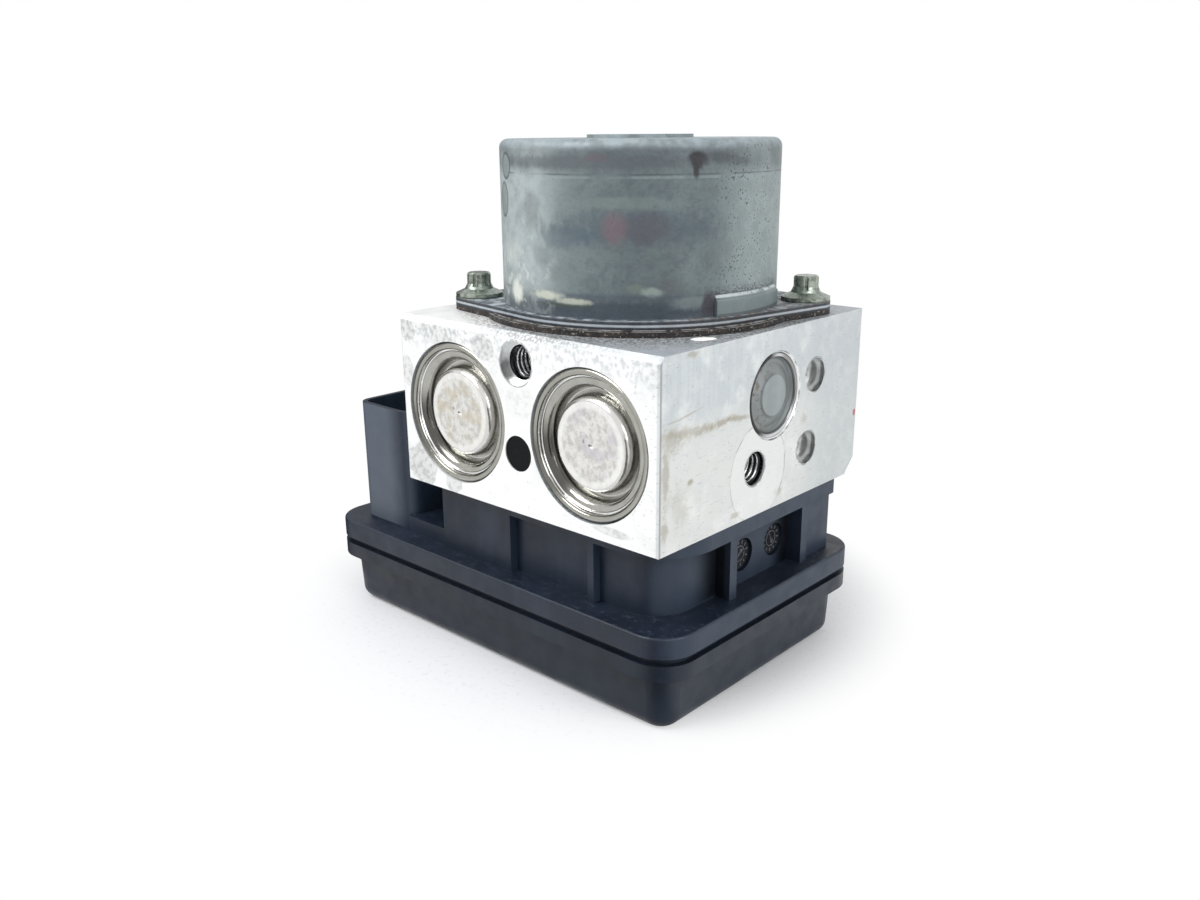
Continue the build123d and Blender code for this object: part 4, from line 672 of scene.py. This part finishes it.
# Pressed caps: two rolled rings, a deep valley and a flat boss. Radius and height from the block's face.
capShape = {
    "face": block["front"], "height": 63.2, "centres": {"left": -22.05, "right": 20.45},
    "around": 160, "between": 5,
    "front": [(9, -1), (9.45, -1.04), (9.9, -1.22), (10.3, -1.6), (10.65, -2.2), (10.95, -3),
              (11.2, -3.8), (11.5, -4.5), (11.85, -4.8), (12.15, -4.4), (12.35, -3.6), (12.6, -2.65),
              (13.05, -1.85), (13.6, -1.42), (14.2, -1.3), (14.7, -1.42), (14.95, -1.55), (15.1, -1.3),
              (15.22, -0.75), (15.5, -0.38), (15.95, -0.22), (16.4, -0.3), (16.72, -0.55), (16.9, -0.95)],
    "back": [(16.9, -3), (13.9, -3), (12.9, -6.5), (9.5, -6.5), (8.5, -2.5), (0, -2.5)]}


def makeCap(side):
    look = capShape
    ends = look["front"]
    profile = [(0, -1), (3, -1), (6, -1)]
    for n in range(len(ends) - 1):
        # a smooth curve through the four points nearest to this stretch
        before, start, end, after = (Vector(ends[min(max(k, 0), len(ends) - 1)]) for k in range(n - 1, n + 3))
        for part in range(look["between"]):
            t = part / look["between"]
            bend = (start * 2 + (end - before) * t + (before * 2 - start * 5 + end * 4 - after) * t * t
                    + (start * 3 - before - end * 3 + after) * t ** 3) / 2
            profile.append(tuple(bend))
    profile += [ends[-1], *look["back"]]
    centre = (look["centres"][side], look["face"], look["height"])
    cap = turnedPiece(f"pressed_cap_{side}", profile, centre, (0, -1, 0), look["around"], "cap")
    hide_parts(f"accumulator_cap_{side}")


for side in ("left", "right"):
    makeCap(side)

print("stage: springs")

# Accumulator springs: wound wire between the cap and the piston's cup, built at one length.
coilSpring = {"seat": -38.79, "length": 21.08, "stroke": 8, "radius": 7.6, "wire": 0.9, "turns": 5,
              "perTurn": 32, "around": 10}


def makeSpring(side):
    look = coilSpring
    seat = Vector((capShape["centres"][side], look["seat"], capShape["height"]))
    steps, around = look["turns"] * look["perTurn"], look["around"]
    rise = (look["length"] - 2 * look["wire"]) / steps
    points, rows = [], []
    for step in range(steps + 1):
        turn = 2 * math.pi * step / look["perTurn"]
        rows.append(range(len(points), len(points) + around))
        for corner in range(around):
            angle = -2 * math.pi * corner / around
            reach = look["radius"] + look["wire"] * math.cos(angle)
            depth = look["wire"] * (1 + math.sin(angle)) + rise * step
            points.append(seat + Vector((reach * math.cos(turn), depth, reach * math.sin(turn))))
    ends = [tuple(rows[0]), tuple(reversed(rows[-1]))]
    piece = addPiece(f"wound_spring_{side}", points, ends + skin(rows), "spring")
    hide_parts(f"accumulator_spring_{side}")
    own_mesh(piece)


for side in ("left", "right"):
    makeSpring(side)

print("stage: threads")

# mouth centre, way out of the hole, major radius, pitch, depth where the thread starts and ends
threads = {
    "front_mount_thread": ((block["middle"], block["front"], 78.2), (0, -1, 0), 4, 1.25, 2, 13.6),
    "side_mount_thread": ((block["right"], -7.3, 54.3), (1, 0, 0), 4, 1.25, 0.5, 9.8),
    **{name: ((across, block["back"], height), (0, 1, 0), radius, 1, 0.5, 11.5)
       for name, (across, height, radius) in rearPorts.items()},
}
# one pitch of the thread's shape: root, root, flank, crest, crest, flank
threadShape = {"around": 72, "outline": [0, 0, 0.45, 1, 1, 0.55], "heightOfPitch": 0.54, "clear": 0.015}


def makeThread(name, mouth, outward, major, pitch, start, end):
    # the rows follow the helix, so the crests stay crisp with few faces
    look = threadShape
    around, outline = look["around"], look["outline"]
    out, level = Vector(outward), Vector((0, 0, 1))
    sideways = out.cross(level)
    rows = (int((end - start) / pitch) - 1) * len(outline)
    points, crests = [], []
    for row in range(rows + len(outline) + 1):
        for step in range(around):
            angle = 2 * math.pi * step / around
            depth = start + pitch * (row / len(outline) + step / around - 1)
            depth = min(max(depth, start), end)
            fade = min(1, max(0.15, (depth - start) / pitch))
            lift = outline[row % len(outline)] * look["heightOfPitch"] * pitch * fade
            spoke = sideways * math.cos(angle) + level * math.sin(angle)
            points.append(Vector(mouth) - out * depth + spoke * (major - look["clear"] - lift))
            crests.append(outline[row % len(outline)] * fade)
    faces = []
    for row in range(rows + len(outline)):
        for step in range(around - 1):
            here = row * around + step
            faces.append((here, here + around, here + around + 1, here + 1))
        if row < rows:
            here, ahead = row * around + around - 1, (row + len(outline)) * around
            faces.append((here, here + around, ahead + around, ahead))
    mesh = addPiece(name, points, faces, "thread").data
    mesh.attributes.new("crest", "FLOAT", "POINT").data.foreach_set("value", crests)


for name, hole in threads.items():
    makeThread(name, *hole)

print("stage: small marks")

# Gasket bead: the low half-round ridge pressed into the sheet just outside the motor's flange.
gasketBead = {"radius": 36.1, "width": 1, "height": 0.3, "top": 86.2, "around": 180, "across": 8}


def makeBead():
    look = gasketBead
    profile = []
    for step in range(look["across"] + 1):
        angle = math.pi * step / look["across"]
        profile.append((look["radius"] - math.cos(angle) * look["width"] / 2,
                        look["height"] * math.sin(angle) - 0.02))
    turnedPiece("gasket_bead", profile + [profile[0]], (0, 0, look["top"]), (0, 0, 1), look["around"],
                "gasket")


makeBead()

# Channel plugs: the ribs of metal that the spreading tool raised between the plug and its hole.
spreadMarks = {"spots": {"upper": (16.6, 71.8), "lower": (14, 54.55)}, "recess": 3.5, "count": 8,
               "inner": 0.5, "outer": 1.9, "width": 0.6, "drop": 0.25, "top": 0.2}


def makeSpreadMarks(name, side, y, z):
    look = spreadMarks
    inner, outer, drop, top = (look[part] for part in ("inner", "outer", "drop", "top"))
    faceX = (block["right"] if side > 0 else block["left"]) - side * look["recess"]
    points, faces = [], []
    for n in range(look["count"]):
        ray = onCircle(1, 360 * (n + 0.3) / look["count"])
        first = len(points)
        for radius, aside, height in ((inner, -0.5, -0.1), (inner, 0.5, -0.1), (outer, 0.5, -drop),
                                      (outer, -0.5, -drop), ((inner + outer) / 2 - 0.2, 0, top),
                                      (outer, 0, top + 0.2)):
            flat = ray * radius + ray.orthogonal() * aside * look["width"]
            points.append((faceX + side * height, y + flat.x, z + flat.y))
        faces += [(first + a, first + b, first + c) for a, b, c in
                  ((0, 4, 1), (0, 3, 4), (3, 5, 4), (1, 4, 2), (2, 4, 5), (2, 5, 3), (0, 1, 2), (0, 2, 3))]
    addPiece(name, points, faces, "core", smooth=False)


for level, (y, z) in spreadMarks["spots"].items():
    makeSpreadMarks(f"spread_marks_right_{level}", 1, y, z)
    makeSpreadMarks(f"spread_marks_left_{level}", -1, y, z)

# Moulding-date inserts: a ring, even ticks and an arrow, with nothing written on them.
dialMarks = {
    "floor": 35.3, "height": 31.8, "spots": {"front": (-5.3, 40), "rear": (7.9, -65)}, "disc": 3.95,
    "ring": 3.3, "innerRing": 1.9, "ringWidth": 0.3, "ringBars": 36, "ticks": 12, "tickLength": 0.8,
    "tickWidth": 0.36, "arrow": 1.4, "tip": 1.5, "barb": 1, "barbAngles": (150, 210), "proud": 0.26}


def makeDial(place, y, turn):
    look = dialMarks
    points, faces = [], []

    def flatBar(start, end, width):
        # a low bar with sloping sides from start to end, in the insert's own plane
        across = (end - start).orthogonal().normalized() * width / 2
        first = len(points)
        for height, squeeze in ((0, 1), (look["proud"], 0.6)):
            slope = across * squeeze
            for corner in (start - slope, end - slope, end + slope, start + slope):
                points.append((look["floor"] + height, y + corner.x, look["height"] + corner.y))
        foot, crown = range(first, first + 4), range(first + 4, first + 8)
        faces.append(tuple(crown))
        faces.extend((foot[n - 1], foot[n], crown[n], crown[n - 1]) for n in range(4))

    inner, outer, width, disc = (look[part] for part in ("innerRing", "ring", "tickWidth", "disc"))
    for n in range(look["ringBars"]):
        step = 360 / look["ringBars"]
        flatBar(onCircle(inner, step * n), onCircle(inner, step * n + step), look["ringWidth"])
    for n in range(look["ticks"]):
        angle = 360 / look["ticks"] * n + turn
        flatBar(onCircle(outer - look["tickLength"], angle), onCircle(outer, angle), width)
    flatBar(onCircle(-look["arrow"], turn), onCircle(look["arrow"], turn), width)
    for lean in look["barbAngles"]:
        tip = onCircle(look["tip"], turn)
        flatBar(tip, tip + onCircle(look["barb"], turn + lean), width)
    addPiece(f"date_dial_marks_{place}", points, faces, "dial", smooth=False)
    rim = [(0, 0.04), (inner - 0.3, 0.04), (inner, 0.1), (disc - 0.5, 0.06), (disc - 0.25, 0.2),
           (disc, 0.2), (disc, -0.01), (0, -0.01)]
    turnedPiece(f"date_dial_{place}", rim, (look["floor"], y, look["height"]), (1, 0, 0), 48, "insert")


for place, (y, turn) in dialMarks["spots"].items():
    makeDial(place, y, turn)

# White marking enamel: one brushed dab on the block's top, beside the gasket.
paintDab = {
    "start": (33.4, -22.8), "end": (36.9, -18.6), "width": 2.1, "height": 0.45, "rings": 4, "around": 28}


def makePaintDab():
    look = paintDab
    start, end = Vector(look["start"]), Vector(look["end"])
    middle, along = (start + end) / 2, (end - start) / 2
    across = along.orthogonal().normalized() * look["width"] / 2
    points = [(middle.x, middle.y, block["top"] + look["height"])]
    rows = [[0] * look["around"]]
    for ring in range(1, look["rings"] + 1):
        share = ring / look["rings"]
        rows.append(range(len(points), len(points) + look["around"]))
        for step in range(look["around"]):
            angle = 2 * math.pi * step / look["around"]
            wobble = 1 + 0.1 * math.sin(3 * angle + 0.7) + 0.06 * math.sin(7 * angle)
            flat = middle + (along * math.cos(angle) + across * math.sin(angle)) * share * wobble
            rise = look["height"] * math.sqrt(max(0, 1 - share ** 3))
            points.append((flat.x, flat.y, block["top"] - 0.01 + rise))
    addPiece("white_paint_dab", points, skin(rows), "enamel")


makePaintDab()

print("stage: floor and lights")

# Studio: white paper sweep, a large soft box over the left front, a weaker one from the right. Shiny
# metal also sees the unlit parts of the room, at the left and behind the camera.
studio = {
    "floorSize": 3000, "paper": "#dfe1e4", "fibre": "#c6cacf", "paperGlow": 0.1,
    "nearMiddle": (-25, 10, 0), "nearReach": 95, "whiteFrom": 0.66, "whiteTo": 0.96,
    "ambient": 0.6, "keyPower": 4.7, "fillPower": 2.2, "aim": (0, 0, 60),
    "darkRoom": [((-0.985, 0.17, 0), 0.72, 0.88, "#2c2d2d"), ((0.65, -0.76, 0), 0.955, 0.99, "#787775")]}


def roomColour(tree, direction, level):
    # what shiny metal sees of the room in a level direction, white wherever level is 0
    colour = "#ffffff"
    for towards, start, end, tint in studio["darkRoom"]:
        match = addNode(tree, "VectorMath", (direction, towards), out="Value", operation="DOT_PRODUCT")
        colour = layColours(tree, studio, colour, ((match, start, end), level, tint, 1))
    return colour


def makeFloor():
    half = studio["floorSize"] * mm / 2
    mesh = bpy.data.meshes.new("floor")
    corners = [(-half, -half, 0), (half, -half, 0), (half, half, 0), (-half, half, 0)]
    mesh.from_pydata(corners, [], [(0, 1, 2, 3)])
    floor = addObject("floor", mesh)
    made = bpy.data.materials.new("white_sweep_paper")
    tree = emptyTree(made)
    place = addNode(tree, "TexCoord", out="Object")
    point = addNode(tree, "VectorMath", {0: place, 3: 1 / mm}, operation="SCALE")
    reach = distance(tree, point, studio["nearMiddle"])
    reach = addNode(tree, "Math", (reach, studio["nearReach"]), operation="DIVIDE")
    away = meet(tree, (reach, studio["whiteFrom"], studio["whiteTo"]))
    tone = layColours(tree, studio, "paper", (patches(tree, point, 1.6, 0.55, 0.72, 5), "fibre", 0.4))
    paper = addNode(tree, "BsdfDiffuse", {"Color": tone})
    glow = addNode(tree, "Emission", {"Color": "#ffffff", "Strength": studio["paperGlow"]})
    near = addNode(tree, "AddShader", (paper, glow))
    path = addNode(tree, "LightPath", out=None).outputs
    room = roomColour(tree, addNode(tree, "VectorMath", (point,), operation="NORMALIZE"), away)
    farTone = addNode(tree, "Mix", {0: path["Is Glossy Ray"], 6: "#ffffff", 7: room}, out=2, data_type="RGBA")
    white = addNode(tree, "Emission", {"Color": farTone, "Strength": 1})
    shown = addNode(tree, "MixShader", (away, near, white))
    seen = addNode(tree, "Math", (path["Is Camera Ray"], path["Is Glossy Ray"]), operation="MAXIMUM")
    seen = addNode(tree, "Math", (seen, path["Is Transmission Ray"]), operation="MAXIMUM")
    surface = addNode(tree, "MixShader", (seen, paper, shown))
    addNode(tree, "OutputMaterial", (surface,), out=None)
    mesh.materials.append(made)


def makeWorld():
    world = bpy.data.worlds.new("studio")
    bpy.context.scene.world = world
    tree = emptyTree(world)
    direction = addNode(tree, "TexCoord", out="Generated")
    height = addNode(tree, "SeparateXYZ", (direction,), out=2)
    room = roomColour(tree, direction, meet(tree, (height, 0.55, 0.2)))
    path = addNode(tree, "LightPath", out=None).outputs
    ambient = addNode(tree, "Background", {"Color": "#ffffff", "Strength": studio["ambient"]})
    reflected = addNode(tree, "Background", {"Color": room, "Strength": 1})
    backdrop = addNode(tree, "Background", {"Color": "#ffffff", "Strength": 1})
    shown = addNode(tree, "MixShader", (path["Is Glossy Ray"], ambient, reflected))
    seen = addNode(tree, "Math", (path["Is Camera Ray"], path["Is Transmission Ray"]), operation="MAXIMUM")
    surface = addNode(tree, "MixShader", (seen, shown, backdrop))
    addNode(tree, "OutputWorld", (surface,), out=None)


def softBox(name, place, size, power):
    light = bpy.data.lights.new(name, "AREA")
    light.shape = "DISK"
    light.size = size * mm
    light.energy = power
    lamp = addObject(name, light)
    lamp.location = Vector(place) * mm
    lamp.rotation_euler = (Vector(studio["aim"]) - Vector(place)).to_track_quat("-Z", "Y").to_euler()


makeFloor()
makeWorld()
softBox("key_soft_box", (-260, -520, 620), 520, studio["keyPower"])
softBox("fill_soft_box", (640, -120, 420), 480, studio["fillPower"])

print("stage: camera")

cameraPose = {
    "place": (165.93, -196.32, 126.9), "heading": -42.417, "down": 16.852, "roll": -0.418,
    "focalPixels": 1049.68, "imageWidth": 1200, "sensor": 36, "near": 0.01, "far": 20}


def makeCamera():
    heading, down, roll = (math.radians(cameraPose[k]) for k in ("heading", "down", "roll"))
    ahead = Vector((math.sin(heading) * math.cos(down), math.cos(heading) * math.cos(down), -math.sin(down)))
    level = Vector((math.cos(heading), -math.sin(heading), 0))
    upright = level.cross(ahead)
    right = level * math.cos(roll) + upright * math.sin(roll)
    up = upright * math.cos(roll) - level * math.sin(roll)
    data = bpy.data.cameras.new("camera")
    data.sensor_width = cameraPose["sensor"]
    data.lens = cameraPose["focalPixels"] / cameraPose["imageWidth"] * cameraPose["sensor"]
    data.clip_start = cameraPose["near"]
    data.clip_end = cameraPose["far"]
    camera = addObject("camera", data)
    turn = Matrix((right, up, -ahead)).transposed()
    camera.matrix_world = Matrix.Translation(Vector(cameraPose["place"]) * mm) @ turn.to_4x4()
    bpy.context.scene.camera = camera


makeCamera()
bpy.context.scene.view_settings.view_transform = "Standard"

print("stage: done")
